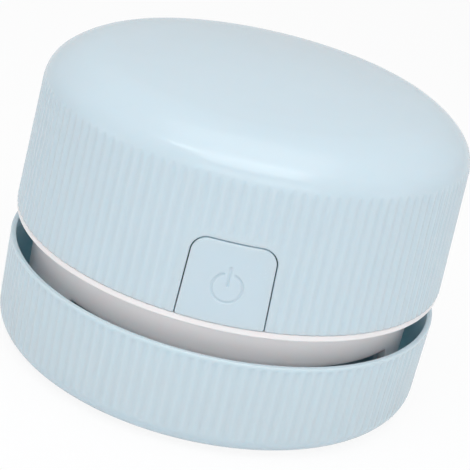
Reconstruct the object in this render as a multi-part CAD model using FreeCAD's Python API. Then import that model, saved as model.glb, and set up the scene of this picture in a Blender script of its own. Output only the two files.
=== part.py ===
"""Desktop mini vacuum cleaner: a ribbed, domed motor head that lifts off a round dust base.

Lengths are millimetres. The cleaner's axis is Z, the table is z = 0 and the power
button faces -Y. Each sub-part has its own function and its own STEP file.
"""
import FreeCAD, Part

import math
import os

Vector = FreeCAD.Vector
UP = Vector(0, 0, 1)
AXIS = Vector(0, 0, 0)

# ---- outer form ----------------------------------------------------------------------
HEAD_RADIUS = 43.0         # head shell at its lower edge
HEAD_LEAN = 1.0            # how far its wall leans in by the shoulder
HEAD_WALL_HEIGHT = 26.3    # flange's underside to the foot of the shoulder
HEAD_HEIGHT = 37.65        # flange's underside to the top of the crown
SHOULDER_ARCS = ((6.7, 44.5), (16.9, 32.9), (100.0, 3.351))  # radius and turn, wall to crown
BASE_RIM_RADIUS = 43.25
BASE_LOW_RADIUS = 43.0     # base wall just above its bottom rounding
BASE_ROUNDING = 4.28
BASE_ROUNDING_STEP = 30.0  # the ribs run out in this much of the rounding
BASE_HEIGHT = 24.3
FEET_DROP = 0.5            # the feet stand this far out of the base
SEAT_GAP = 0.05            # head flange above the base's horns

# ---- ribs ----------------------------------------------------------------------------
RIB_COUNT = 124
RIB_DEPTH = 0.35
RIB_GROOVE_RADIUS = 1.05
RIB_OVERRUN = 5.0          # grooves' cutters reach this far past the shoulder's foot

# ---- walls and running gaps ----------------------------------------------------------
HEAD_SHELL_WALL = 1.8
BASE_BORE_RADIUS = 41.5
BASE_FLOOR = 2.2
BASE_INNER_BEVEL = 1.2
FIT_GAP = 0.2              # parts that drop into each other
FACE_GAP = 0.1             # moulded parts that meet edge to edge
RUN_GAP = 0.5              # impeller to its neighbours
SHAFT_GAP = 0.03
BORE_EASE = 0.1            # round parts in round seats that don't turn

# ---- air slots in the base's rim -----------------------------------------------------
SLOT_HALF_WIDTH = 40.6
SLOT_DEPTH = 5.3           # at the middle, below the flange
SLOT_END_DEPTH = 4.6       # where the end corners start
SLOT_CORNER = 4.0

# ---- head chassis --------------------------------------------------------------------
FLANGE_RADIUS = 42.8
FLANGE_HEIGHT = 1.35
FLANGE_BEVEL = 0.3
NECK_RADIUS = 38.45
NECK_WALL = 1.55
NECK_DROP = 7.53           # flange's underside to the neck's lower edge
CHASSIS_FLOOR = 1.8
CHASSIS_FLOOR_LIFT = 0.15  # floor's underside above the flange's
SPIGOT_HEIGHT = 2.3
SPIGOT_WALL = 1.6
SPIGOT_FRONT_HALF = 11.5   # gap in the spigot for the button
SPIGOT_REAR_HALF = 6.5     # and for the charging socket
MOTOR_SEAT_RADIUS = 12.8
MOTOR_SEAT_HEIGHT = 3.0

# ---- fan -----------------------------------------------------------------------------
IMPELLER_RADIUS = 24.0
IMPELLER_EYE = 10.5
IMPELLER_HUB = 5.0
IMPELLER_DISC = 1.0
BLADE_COUNT = 11
BLADE_THICK = 1.0
BLADE_SWEEP = 48.0         # degrees from eye to rim
BLADE_CURVE = 1.3          # power by which the sweep grows outwards
SHROUD_RADIUS = 33.6
SHROUD_PLATE = 1.0
SHROUD_RISE = 6.5          # shroud's upper face below the chassis floor
SHROUD_LIP = 0.9           # the inlet's lip below the plate
SHROUD_LIP_WALL = 1.2
SHROUD_RIM_RISE = 1.0
POST_CIRCLE = 29.0
POST_RADIUS = 2.6

# ---- motor ---------------------------------------------------------------------------
MOTOR_RADIUS = 12.2
MOTOR_CAN_LENGTH = 26.0
MOTOR_CAN_WALL = 1.0
MOTOR_CAP_LENGTH = 2.6
MOTOR_BOSS_RADIUS = 3.2
MOTOR_BOSS_HEIGHT = 1.4
MOTOR_SCREW_PITCH = 16.0
MAGNET_THICK = 2.2
MAGNET_ANGLE = 130.0
ARMATURE_RADIUS = 8.3
ARMATURE_LENGTH = 15.0
ARMATURE_SLOTS = 5
ARMATURE_SLOT_CIRCLE = 6.0
ARMATURE_SLOT_RADIUS = 1.7
COMMUTATOR_RADIUS = 3.0
COMMUTATOR_LENGTH = 4.0
COMMUTATOR_ROOM = 2.0
BUSH_LENGTH = 2.4
SHAFT_RADIUS = 1.0
SHAFT_SHORT = 0.6          # shaft's end above the blades' lower edges
SHAFT_TAIL = 0.3
BUSH_RADIUS = 2.4
MOTOR_PLUG_DEPTH = 1.5
MAGNET_OVERHANG = 1.5
ARMATURE_CLEARANCE = 4.0
ARMATURE_NECK = 1.0
TERMINAL_SPREAD = 8.0
TERMINAL_RISE = 2.2
TERMINAL_WIDTH = 2.0
TERMINAL_THICK = 0.5

# ---- screws --------------------------------------------------------------------------
SHELL_SCREW_CIRCLE = 34.0
SHELL_SCREW_ANGLE = 22.0   # either side of the X axis
SHELL_BOSS_RADIUS = 3.0
GUSSET_WIDTH = 1.4
SHELL_SCREW_LENGTH = 9.0
SHROUD_SCREW_LENGTH = 6.0
BASE_SCREW_CIRCLE = 37.2
BASE_SCREW_LENGTH = 6.5
BOARD_SCREW_BITE = 1.8
SCREW_RADIUS = 0.95
SCREW_HEAD_RADIUS = 1.9
SCREW_HEAD_HEIGHT = 1.1
MOTOR_SCREW_RADIUS = 1.25
MOTOR_SCREW_LENGTH = 3.0
MOTOR_SCREW_HEAD_RADIUS = 2.3
MOTOR_SCREW_HEAD_HEIGHT = 1.2
SCREW_RECESS_WIDTH = 0.5
SCREW_RECESS_DEPTH = 0.5
SCREW_RECESS_REACH = 0.6   # share of the head's radius
SCREW_SINK = 1.2           # base screws' seats above the base's underside
SCREW_HOLE_EASE = 0.25
SCREW_END_GAP = 0.4        # bores go this far past the screws' ends

# ---- dust cup, filter and brush ------------------------------------------------------
CUP_RADIUS = 34.0
CUP_WALL = 1.4
CUP_HEIGHT = 11.8
CUP_FLOOR = 1.2
CUP_LUG_RADIUS = 2.8
CUP_LUG_HEIGHT = 6.0
CHIMNEY_RADIUS = 8.2       # bore
CHIMNEY_WALL = 1.4
CHIMNEY_HEIGHT = 6.3       # its higher edge above the raised floor
CHIMNEY_SLANT = 14.0       # degrees
PLATE_RADIUS = 21.2
PLATE_THICK = 1.2
PLATE_DEPTH = 3.5          # plate's upper face above the base's underside
PLATE_FLANGE = 2.6
PLATE_SKIRT_WALL = 1.6
NOZZLE_WALL = 1.2
NOZZLE_LIFT = 0.7          # nozzle's lip above the base's underside
FILTER_SKIRT_WALL = 1.4
FILTER_SKIRT_DROP = 1.9
FILTER_FLANGE_HEIGHT = 1.2
FILTER_BAR_WIDTH = 1.6
FILTER_BAR_HEIGHT = 1.2
FILTER_BARS = 6
FILTER_HUB = 4.0
MESH_THICK = 0.4
SEAL_WIDTH = 2.2
SEAL_INSET = 0.6
TUFT_ROWS = (12.4, 16.2)   # radii of the two rows of bristles
TUFT_COUNT = 26
TUFT_RADIUS = 0.75
TUFT_CLEARANCE = 0.1       # bristle tips above the table
FOOT_RADIUS = 3.0
FOOT_CIRCLE = 36.0
FOOT_THICK = 1.0
GUIDE_WIDTH = 2.0
GUIDE_GAP = 0.2
GUIDE_ANGLE = 8.0          # either side of the X axis
GUIDE_LOW = 8.0
GUIDE_TOP_DROP = 0.5

# ---- button and switch ---------------------------------------------------------------
BUTTON_LOW_WIDTH = 16.05
BUTTON_TOP_WIDTH = 15.0
BUTTON_HEIGHT = 15.2
BUTTON_CORNER = 3.0
BUTTON_GAP = 0.35
BUTTON_FLANGE = 1.5        # thickness of the plate that keeps it in the shell
BUTTON_FLANGE_REACH = 1.2
BUTTON_TRAVEL = 1.0
BUTTON_STEM = 2.0
WINDOW_MARGIN = 1.1        # smooth border around the window
SWITCH_HEIGHT = 8.4        # button's centre above the flange's underside
SWITCH_BODY = 8.0
SWITCH_DEPTH = 5.0
SWITCH_FACE = -32.0        # y of the switch's front
PLUNGER_RADIUS = 1.6
PLUNGER_LENGTH = 4.6
PLUNGER_OUT = 2.2          # how far it stands out of the switch
STEM_GAP = 0.1
BOARD_THICK = 1.2
SWITCH_BOARD_WIDTH = 20.0
SWITCH_BOARD_HEIGHT = 13.0
RAIL_WIDTH = 3.4
RAIL_DEPTH = 3.6
RAIL_HEIGHT = 10.0
RAIL_BITE = 1.2            # how far the board sits in each rail

# ---- battery and charging socket -----------------------------------------------------
CELL_RADIUS = 7.1
CELL_LENGTH = 50.0         # with its nub
CELL_NUB_RADIUS = 2.7
CELL_NUB_HEIGHT = 1.0
CELL_OFFSET = 20.5         # cell's axis from the motor's
CELL_EASE = 0.1
HOLDER_WIDTH = 14.8
HOLDER_FLOOR = 1.0
HOLDER_HEIGHT = 9.0
HOLDER_END_WALL = 1.2
TAB_THICK = 0.3
TAB_WIDTH = 6.0
TAB_REACH = 6.0            # strips' upper ends above the cell's axis
STOP_THICK = 1.2
STOP_HEIGHT = 3.0
CHARGE_BOARD_WIDTH = 20.0
CHARGE_BOARD_FRONT = 26.0
CHARGE_BOARD_REAR = 37.8
CHARGE_POST_HEIGHT = 2.6
CHARGE_POST_RADIUS = 2.2
CHARGE_POST_OFFSET = 7.2
CHARGE_POST_PLACE = 29.6
USB_WIDTH = 8.94
USB_HEIGHT = 3.26
USB_LENGTH = 7.35
USB_WALL = 0.35
USB_BACK_WALL = 0.8
USB_TONGUE_INSET = 0.8
USB_REAR = 41.7
USB_POCKET_EASE = 0.15
USB_OPENING_EASE = 0.35
USB_TONGUE_WIDTH = 6.6
USB_TONGUE_THICK = 0.7
LEAD_RADIUS = 0.6
LEAD_BEND = 3.0
LEAD_BEND_SHARE = 0.45     # of a run's length, that a bend may take
LEAD_INSET = 1.4           # leads' ends from the charging board's front edge
LEAD_CLEAR = 1.6           # leads above the cell
LEAD_STRAIGHT = 4.0        # first run from a board or strip
MOTOR_LEAD_OFFSET = 5.0
MOTOR_LEAD_CLEAR = 1.8     # from the can's wall
BATTERY_LEAD_OFFSET = 4.0
SWITCH_LEAD_START = 6.0
SWITCH_LEAD_REACH = 20.0   # furthest from the axis, on +X
SWITCH_LEAD_SPREAD = 3.0   # between the two
SWITCH_LEAD_END = 9.0      # where the outer one meets the charging board

# ---- heights worked out from the sizes above -----------------------------------------
BASE_LOW = FEET_DROP
BASE_FLOOR_TOP = BASE_LOW + BASE_FLOOR
BASE_TOP = BASE_LOW + BASE_HEIGHT
FLANGE_LOW = BASE_TOP + SEAT_GAP
FLANGE_TOP = FLANGE_LOW + FLANGE_HEIGHT
SHELL_LOW = FLANGE_TOP + FACE_GAP
SHOULDER_LOW = FLANGE_LOW + HEAD_WALL_HEIGHT
HEAD_TOP = FLANGE_LOW + HEAD_HEIGHT
NECK_LOW = FLANGE_LOW - NECK_DROP
FLOOR_LOW = FLANGE_LOW + CHASSIS_FLOOR_LIFT
FLOOR_TOP = FLOOR_LOW + CHASSIS_FLOOR
MOTOR_LOW = FLOOR_LOW + MOTOR_SEAT_HEIGHT
MOTOR_SCREW_SEAT = FLOOR_LOW + MOTOR_SCREW_HEAD_HEIGHT + FACE_GAP

CUP_TOP = BASE_FLOOR_TOP + CUP_HEIGHT
PLATE_TOP = BASE_LOW + PLATE_DEPTH
CUP_RAISED_LOW = PLATE_TOP + FACE_GAP
CUP_RAISED_TOP = CUP_RAISED_LOW + CUP_FLOOR
CHIMNEY_TOP = CUP_RAISED_TOP + CHIMNEY_HEIGHT
FILTER_LOW = CUP_TOP - FILTER_SKIRT_DROP
FILTER_TOP = CUP_TOP + FILTER_FLANGE_HEIGHT
SHROUD_TOP = FLOOR_LOW - SHROUD_RISE
SHROUD_LOW = SHROUD_TOP - SHROUD_PLATE
MOTOR_TOP = MOTOR_LOW + MOTOR_CAN_LENGTH
MOTOR_CAP_TOP = MOTOR_TOP + MOTOR_CAP_LENGTH
MOTOR_BACK = MOTOR_CAP_TOP + MOTOR_BOSS_HEIGHT
CHARGE_BOARD_LOW = FLOOR_TOP + CHARGE_POST_HEIGHT
CHARGE_BOARD_TOP = CHARGE_BOARD_LOW + BOARD_THICK
USB_MIDDLE = CHARGE_BOARD_TOP + USB_HEIGHT / 2
SWITCH_MIDDLE = FLANGE_LOW + SWITCH_HEIGHT
SWITCH_BOARD_FRONT = SWITCH_FACE + SWITCH_DEPTH
PLUNGER_TIP = SWITCH_FACE - PLUNGER_OUT
CELL_MIDDLE = FLOOR_TOP + HOLDER_FLOOR + CELL_EASE + CELL_RADIUS

FAR = 2 * HEAD_RADIUS      # longer than anything that it cuts
SHELL_SCREWS = (SHELL_SCREW_ANGLE, 180 - SHELL_SCREW_ANGLE, 180 + SHELL_SCREW_ANGLE, -SHELL_SCREW_ANGLE)
BASE_SCREWS = (45, 135, 225, 315)
POSTS = (90, 210, 330)
FEET = (0, 90, 180, 270)


# ---- shapes that several parts use ---------------------------------------------------
def at(radius, height):
    """Point of an outline that is turned about the cleaner's axis."""
    return Vector(radius, 0, height)


def polar(radius, degrees, height):
    """Point at an angle about the cleaner's axis, counted from +X."""
    angle = math.radians(degrees)
    return Vector(radius * math.cos(angle), radius * math.sin(angle), height)


def line(start, end):
    return Part.LineSegment(start, end).toShape()


def arc(start, middle, end):
    return Part.Arc(start, middle, end).toShape()


def turned(outline):
    """Solid turned from a closed outline of (radius, height) corners."""
    corners = [at(radius, height) for radius, height in outline]
    return Part.Face(Part.makePolygon(corners + corners[:1])).revolve(AXIS, UP, 360)


def disc(radius, low, high, x=0, y=0):
    return Part.makeCylinder(radius, high - low, Vector(x, y, low), UP)


def ring(inner, outer, low, high):
    return disc(outer, low, high).cut(disc(inner, low, high))


def block(x_range, y_range, z_range):
    size = [high - low for low, high in (x_range, y_range, z_range)]
    return Part.makeBox(*size, Vector(x_range[0], y_range[0], z_range[0]))


def rod(radius, y_low, y_high, x, z):
    """Cylinder along Y."""
    return Part.makeCylinder(radius, y_high - y_low, Vector(x, y_low, z), Vector(0, 1, 0))


def spoke(inner, outer, width, low, high, degrees):
    """Upright bar along a radius."""
    bar = block((inner, outer), (-width / 2, width / 2), (low, high))
    bar.rotate(AXIS, UP, degrees)
    return bar


def joined(shapes):
    return shapes[0].multiFuse(shapes[1:]).removeSplitter()


def discs_around(circle, angles, radius, low, high):
    """Equal upright discs on a circle, as a list."""
    centres = [polar(circle, angle, 0) for angle in angles]
    return [disc(radius, low, high, centre.x, centre.y) for centre in centres]


def screw(centre, seat, length, up=1):
    """Pan screw whose head bears on the seat's height; up=1 drives it upwards."""
    return driven_screw(centre, seat, length, up, SCREW_RADIUS, SCREW_HEAD_RADIUS, SCREW_HEAD_HEIGHT)


def driven_screw(centre, seat, length, up, radius, head_radius, head_height):
    way = Vector(0, 0, up)
    start = Vector(centre.x, centre.y, seat)
    face = start - way * head_height
    shank = Part.makeCylinder(radius, length, start, way)
    head = Part.makeCylinder(head_radius, head_height, face, way)
    solid = head.fuse(shank)
    reach = head_radius * SCREW_RECESS_REACH
    half = SCREW_RECESS_WIDTH / 2
    bottom = face + way * SCREW_RECESS_DEPTH
    z_range = (min(face.z, bottom.z), max(face.z, bottom.z))
    across = block((start.x - reach, start.x + reach), (start.y - half, start.y + half), z_range)
    along = block((start.x - half, start.x + half), (start.y - reach, start.y + reach), z_range)
    return solid.cut(across.fuse(along)).removeSplitter()


def stadium(width, height, y_range, z_middle):
    """Bar along Y with round ends, centred on x = 0."""
    radius = height / 2
    side = width / 2 - radius
    core = block((-side, side), y_range, (z_middle - radius, z_middle + radius))
    ends = [rod(radius, y_range[0], y_range[1], x, z_middle) for x in (-side, side)]
    return joined([core] + ends)


def edges_along_y(solid, half_width, height):
    """Edges of a prism that run along Y at x = +-half_width and the height."""
    found = []
    for edge in solid.Edges:
        ends = [vertex.Point for vertex in edge.Vertexes]
        straight = len(ends) == 2 and abs(ends[0].x - ends[1].x) < 1e-6
        placed = all(abs(abs(p.x) - half_width) < 1e-6 and abs(p.z - height) < 1e-6 for p in ends)
        if straight and placed:
            found.append(edge)
    return found


# ---- outer form of the head and the base ---------------------------------------------
def head_radius_at(height):
    """Smooth wall of the head shell, which leans in towards the shoulder."""
    lean = HEAD_LEAN * (height - SHELL_LOW) / (SHOULDER_LOW - SHELL_LOW)
    return HEAD_RADIUS - lean


def head_form(inset, low=None):
    """Smooth domed form of the head, moved inward by inset, from a lower height."""
    low = SHELL_LOW if low is None else low
    turn = math.atan(HEAD_LEAN / (SHOULDER_LOW - SHELL_LOW))
    start = at(head_radius_at(SHOULDER_LOW), SHOULDER_LOW) - outward(turn) * inset
    foot = at(start.x + (start.z - low) * math.tan(turn), low)
    edges = [line(at(0, low), foot), line(foot, start)]
    for radius, degrees in SHOULDER_ARCS:
        bend = radius - inset
        step = math.radians(degrees)
        middle = start - outward(turn) * bend
        end = middle + outward(turn + step) * bend
        edges.append(arc(start, middle + outward(turn + step / 2) * bend, end))
        start = end
        turn += step
    top = at(0, HEAD_TOP - inset)
    rise = top.z - start.z
    sphere = (start.x ** 2 + rise ** 2) / (2 * rise)
    half = start.x / 2
    crown_middle = at(half, top.z - sphere + math.sqrt(sphere ** 2 - half ** 2))
    edges += [arc(start, crown_middle, top), line(top, at(0, low))]
    return Part.Face(Part.Wire(edges)).revolve(AXIS, UP, 360)


def outward(angle):
    """Direction in the outline's plane, from +X towards the top, in radians."""
    return Vector(math.cos(angle), 0, math.sin(angle))


def base_radius_at(height):
    """Smooth wall of the base, which opens slightly towards the rim."""
    start = BASE_LOW + BASE_ROUNDING
    return BASE_LOW_RADIUS + (BASE_RIM_RADIUS - BASE_LOW_RADIUS) * (height - start) / (BASE_TOP - start)


def base_form():
    """Smooth form of the base: flat underside, rounded edge, nearly upright wall."""
    middle = at(BASE_LOW_RADIUS - BASE_ROUNDING, BASE_LOW + BASE_ROUNDING)
    step = math.radians(BASE_ROUNDING_STEP)
    turns = (-math.pi / 2, -(math.pi / 2 + step) / 2, -step, -step / 2, 0)
    foot, low_middle, split, high_middle, wall_low = [middle + outward(turn) * BASE_ROUNDING for turn in turns]
    rim = at(BASE_RIM_RADIUS, BASE_TOP)
    edges = [
        line(at(0, BASE_LOW), foot),
        arc(foot, low_middle, split),
        arc(split, high_middle, wall_low),
        line(wall_low, rim),
        line(rim, at(0, BASE_TOP)),
        line(at(0, BASE_TOP), at(0, BASE_LOW)),
    ]
    return Part.Face(Part.Wire(edges)).revolve(AXIS, UP, 360)


def groove_cutters(radius_at, low, high):
    """Round rods side by side that lean with the wall; where it curves in, they run out of it."""
    cutters = []
    for index in range(RIB_COUNT):
        angle = (index + 0.5) * 360 / RIB_COUNT
        start = polar(radius_at(low) - RIB_DEPTH + RIB_GROOVE_RADIUS, angle, low)
        end = polar(radius_at(high) - RIB_DEPTH + RIB_GROOVE_RADIUS, angle, high)
        way = end - start
        cutters.append(Part.makeCylinder(RIB_GROOVE_RADIUS, way.Length, start, way))
    return cutters


def button_prism(margin, y_range):
    """Button's front outline, widened by margin, as a prism along Y."""
    top = SHELL_LOW + BUTTON_HEIGHT + margin
    low_half = BUTTON_LOW_WIDTH / 2 + margin
    top_half = BUTTON_TOP_WIDTH / 2 + margin
    corners = [(-low_half, SHELL_LOW), (low_half, SHELL_LOW), (top_half, top), (-top_half, top)]
    points = [Vector(x, y_range[0], z) for x, z in corners]
    face = Part.Face(Part.makePolygon(points + points[:1]))
    prism = face.extrude(Vector(0, y_range[1] - y_range[0], 0))
    return prism.makeFillet(BUTTON_CORNER + margin, edges_along_y(prism, top_half, top))


# ---- base ----------------------------------------------------------------------------
def slot_cutter():
    """Prism along Y that scoops the rim at front and rear, with round lower corners."""
    end_height = FLANGE_LOW - SLOT_END_DEPTH
    left = Vector(-SLOT_HALF_WIDTH, -FAR, end_height)
    right = Vector(SLOT_HALF_WIDTH, -FAR, end_height)
    middle = Vector(0, -FAR, FLANGE_LOW - SLOT_DEPTH)
    rise = Vector(0, 0, 2 * SLOT_DEPTH)
    edges = [
        arc(left, middle, right),
        line(right, right + rise),
        line(right + rise, left + rise),
        line(left + rise, left),
    ]
    prism = Part.Face(Part.Wire(edges)).extrude(Vector(0, 2 * FAR, 0))
    return prism.makeFillet(SLOT_CORNER, edges_along_y(prism, SLOT_HALF_WIDTH, end_height))


def base_shell():
    """Ribbed outer wall with its floor, air slots, guides for the neck and screw seats."""
    body = base_form().cut(groove_cutters(base_radius_at, BASE_LOW, BASE_TOP + 1))
    bore = turned([
        (0, BASE_FLOOR_TOP),
        (BASE_BORE_RADIUS - BASE_INNER_BEVEL, BASE_FLOOR_TOP),
        (BASE_BORE_RADIUS, BASE_FLOOR_TOP + BASE_INNER_BEVEL),
        (BASE_BORE_RADIUS, BASE_TOP + 1),
        (0, BASE_TOP + 1),
    ])
    body = body.cut(bore).cut(slot_cutter())
    mouth = disc(PLATE_RADIUS + FIT_GAP, 0, BASE_FLOOR_TOP + 1)
    head_high = BASE_LOW + SCREW_SINK
    shank_hole = SCREW_RADIUS + SCREW_HOLE_EASE
    head_hole = SCREW_HEAD_RADIUS + SCREW_HOLE_EASE
    holes = discs_around(BASE_SCREW_CIRCLE, BASE_SCREWS, shank_hole, 0, BASE_FLOOR_TOP + 1)
    sinks = discs_around(BASE_SCREW_CIRCLE, BASE_SCREWS, head_hole, 0, head_high)
    seats = discs_around(FOOT_CIRCLE, FEET, FOOT_RADIUS + BORE_EASE, 0, FOOT_THICK)
    body = body.cut([mouth] + holes + sinks + seats)
    guide_inner = NECK_RADIUS + GUIDE_GAP
    guide_outer = (BASE_BORE_RADIUS + BASE_LOW_RADIUS - RIB_DEPTH) / 2
    guide_angles = (GUIDE_ANGLE, -GUIDE_ANGLE, 180 - GUIDE_ANGLE, 180 + GUIDE_ANGLE)
    guides = [
        spoke(guide_inner, guide_outer, GUIDE_WIDTH, GUIDE_LOW, BASE_TOP - GUIDE_TOP_DROP, angle)
        for angle in guide_angles
    ]
    return joined([body] + guides)


def dust_cup():
    """Round cup on the base's floor, with the suction chimney and four screw lugs."""
    inner = CUP_RADIUS - CUP_WALL
    groove = PLATE_RADIUS + PLATE_FLANGE + 2 * FIT_GAP
    chimney_outer = CHIMNEY_RADIUS + CHIMNEY_WALL
    cup = turned([
        (CHIMNEY_RADIUS, CUP_RAISED_LOW),
        (groove, CUP_RAISED_LOW),
        (groove, BASE_FLOOR_TOP),
        (CUP_RADIUS, BASE_FLOOR_TOP),
        (CUP_RADIUS, CUP_TOP),
        (inner, CUP_TOP),
        (inner, BASE_FLOOR_TOP + CUP_FLOOR),
        (groove + CUP_FLOOR, BASE_FLOOR_TOP + CUP_FLOOR),
        (groove + CUP_FLOOR, CUP_RAISED_TOP),
        (chimney_outer, CUP_RAISED_TOP),
        (chimney_outer, CHIMNEY_TOP),
        (CHIMNEY_RADIUS, CHIMNEY_TOP),
    ])
    slant = block((-FAR, 0), (-FAR, FAR), (0, FAR))
    slant.translate(Vector(chimney_outer, 0, CHIMNEY_TOP))
    slant.rotate(at(chimney_outer, CHIMNEY_TOP), Vector(0, 1, 0), -CHIMNEY_SLANT)
    slant = slant.common(disc(chimney_outer + 1, CUP_RAISED_TOP, FAR))
    lug_top = BASE_FLOOR_TOP + CUP_LUG_HEIGHT
    lugs = discs_around(BASE_SCREW_CIRCLE, BASE_SCREWS, CUP_LUG_RADIUS, BASE_FLOOR_TOP, lug_top)
    webs = [
        spoke(inner + CUP_WALL / 2, BASE_SCREW_CIRCLE, CUP_LUG_RADIUS, BASE_FLOOR_TOP, lug_top, angle)
        for angle in BASE_SCREWS
    ]
    bore_end = BASE_LOW + SCREW_SINK + BASE_SCREW_LENGTH + SCREW_END_GAP
    bores = discs_around(BASE_SCREW_CIRCLE, BASE_SCREWS, SCREW_RADIUS, 0, bore_end)
    return joined([cup.cut(slant)] + webs + lugs).cut(bores)


def brush_plate():
    """Dished plate around the suction mouth, trapped between the base and the cup."""
    disc_low = PLATE_TOP - PLATE_THICK
    flange_low = BASE_FLOOR_TOP + SEAT_GAP
    nozzle_outer = CHIMNEY_RADIUS + NOZZLE_WALL
    skirt_inner = PLATE_RADIUS - PLATE_SKIRT_WALL
    return turned([
        (CHIMNEY_RADIUS, BASE_LOW + NOZZLE_LIFT),
        (nozzle_outer, BASE_LOW + NOZZLE_LIFT),
        (nozzle_outer, disc_low),
        (skirt_inner, disc_low),
        (skirt_inner, BASE_LOW),
        (PLATE_RADIUS, BASE_LOW),
        (PLATE_RADIUS, flange_low),
        (PLATE_RADIUS + PLATE_FLANGE, flange_low),
        (PLATE_RADIUS + PLATE_FLANGE, PLATE_TOP),
        (CHIMNEY_RADIUS, PLATE_TOP),
    ])


def brush_tufts():
    """Two staggered rows of bristle tufts that hang from the brush plate."""
    high = PLATE_TOP - PLATE_THICK
    step = 360 / TUFT_COUNT
    tufts = []
    for row, circle in enumerate(TUFT_ROWS):
        for index in range(TUFT_COUNT):
            centre = polar(circle, (index + row / 2) * step, TUFT_CLEARANCE)
            corners = [centre + polar(TUFT_RADIUS, 60 * side, 0) for side in range(7)]
            face = Part.Face(Part.makePolygon(corners))
            tufts.append(face.extrude(Vector(0, 0, high - TUFT_CLEARANCE)))
    return Part.makeCompound(tufts)


def glide_feet():
    return Part.makeCompound(discs_around(FOOT_CIRCLE, FEET, FOOT_RADIUS, 0, FOOT_THICK))


def base_screws():
    seat = BASE_LOW + SCREW_SINK
    places = [polar(BASE_SCREW_CIRCLE, angle, 0) for angle in BASE_SCREWS]
    return Part.makeCompound([screw(place, seat, BASE_SCREW_LENGTH) for place in places])


# ---- filter unit ---------------------------------------------------------------------
def filter_frame():
    """Round frame whose flange sits on the cup's rim, with bars under the mesh."""
    skirt = CUP_RADIUS - CUP_WALL - FIT_GAP
    inner = skirt - FILTER_SKIRT_WALL
    frame = turned([
        (inner, FILTER_LOW),
        (skirt, FILTER_LOW),
        (skirt, CUP_TOP),
        (CUP_RADIUS, CUP_TOP),
        (CUP_RADIUS, FILTER_TOP),
        (inner, FILTER_TOP),
    ])
    bar_top = FILTER_LOW + FILTER_BAR_HEIGHT
    reach = inner + FILTER_SKIRT_WALL / 2
    bars = [
        spoke(0, reach, FILTER_BAR_WIDTH, FILTER_LOW, bar_top, index * 360 / FILTER_BARS)
        for index in range(FILTER_BARS)
    ]
    return joined([frame, disc(FILTER_HUB, FILTER_LOW, bar_top)] + bars)


def filter_mesh():
    radius = CUP_RADIUS - CUP_WALL - FIT_GAP - FILTER_SKIRT_WALL - BORE_EASE
    low = FILTER_LOW + FILTER_BAR_HEIGHT
    return disc(radius, low, low + MESH_THICK)


def seal_ring():
    """Soft ring on the filter's flange, which the fan shroud closes on."""
    outer = CUP_RADIUS - SEAL_INSET
    inner = outer - SEAL_WIDTH
    high = SHROUD_LOW - FIT_GAP
    bevel = SEAL_WIDTH / 4
    return turned([
        (inner, FILTER_TOP),
        (outer, FILTER_TOP),
        (outer, high - bevel),
        (outer - bevel, high),
        (inner + bevel, high),
        (inner, high - bevel),
    ])


# ---- head shell, chassis and fan -----------------------------------------------------
def top_shell():
    """Domed, ribbed shell with the button window, charging opening and screw bosses."""
    smooth = head_form(0)
    ribbed = smooth.cut(groove_cutters(head_radius_at, SHELL_LOW - 1, SHOULDER_LOW + RIB_OVERRUN))
    border = smooth.common(button_prism(WINDOW_MARGIN, (-FAR, -HEAD_RADIUS / 2)))
    hollow = head_form(HEAD_SHELL_WALL, SHELL_LOW - 1)
    shell = ribbed.fuse(border).cut(hollow)
    core = head_form(HEAD_SHELL_WALL / 2)
    boss_low = FLOOR_TOP + FACE_GAP
    bosses = discs_around(SHELL_SCREW_CIRCLE, SHELL_SCREWS, SHELL_BOSS_RADIUS, boss_low, HEAD_TOP)
    gusset_low = FLANGE_TOP + SPIGOT_HEIGHT + FIT_GAP
    gussets = [
        spoke(SHELL_SCREW_CIRCLE, HEAD_RADIUS, GUSSET_WIDTH, gusset_low, HEAD_TOP, angle)
        for angle in SHELL_SCREWS
    ]
    shell = joined([shell] + [solid.common(core) for solid in bosses + gussets])
    bore_end = FLOOR_LOW + SHELL_SCREW_LENGTH + SCREW_END_GAP
    bores = discs_around(SHELL_SCREW_CIRCLE, SHELL_SCREWS, SCREW_RADIUS, 0, bore_end)
    window = button_prism(BUTTON_GAP, (-FAR, -HEAD_RADIUS / 2))
    opening = stadium(USB_WIDTH + 2 * USB_OPENING_EASE, USB_HEIGHT + 2 * USB_OPENING_EASE,
                      (HEAD_RADIUS / 2, FAR), USB_MIDDLE)
    pocket_side = USB_WIDTH / 2 + USB_OPENING_EASE
    pocket = block((-pocket_side, pocket_side), (HEAD_RADIUS / 2, USB_REAR + USB_POCKET_EASE),
                   (SHELL_LOW - 1, USB_MIDDLE + USB_HEIGHT / 2 + USB_OPENING_EASE))
    return shell.cut(bores + [window, opening, pocket])


def spigot_inner():
    """Inner radius of the ring on the chassis that centres the shell."""
    return HEAD_RADIUS - HEAD_SHELL_WALL - FIT_GAP - SPIGOT_WALL


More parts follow.
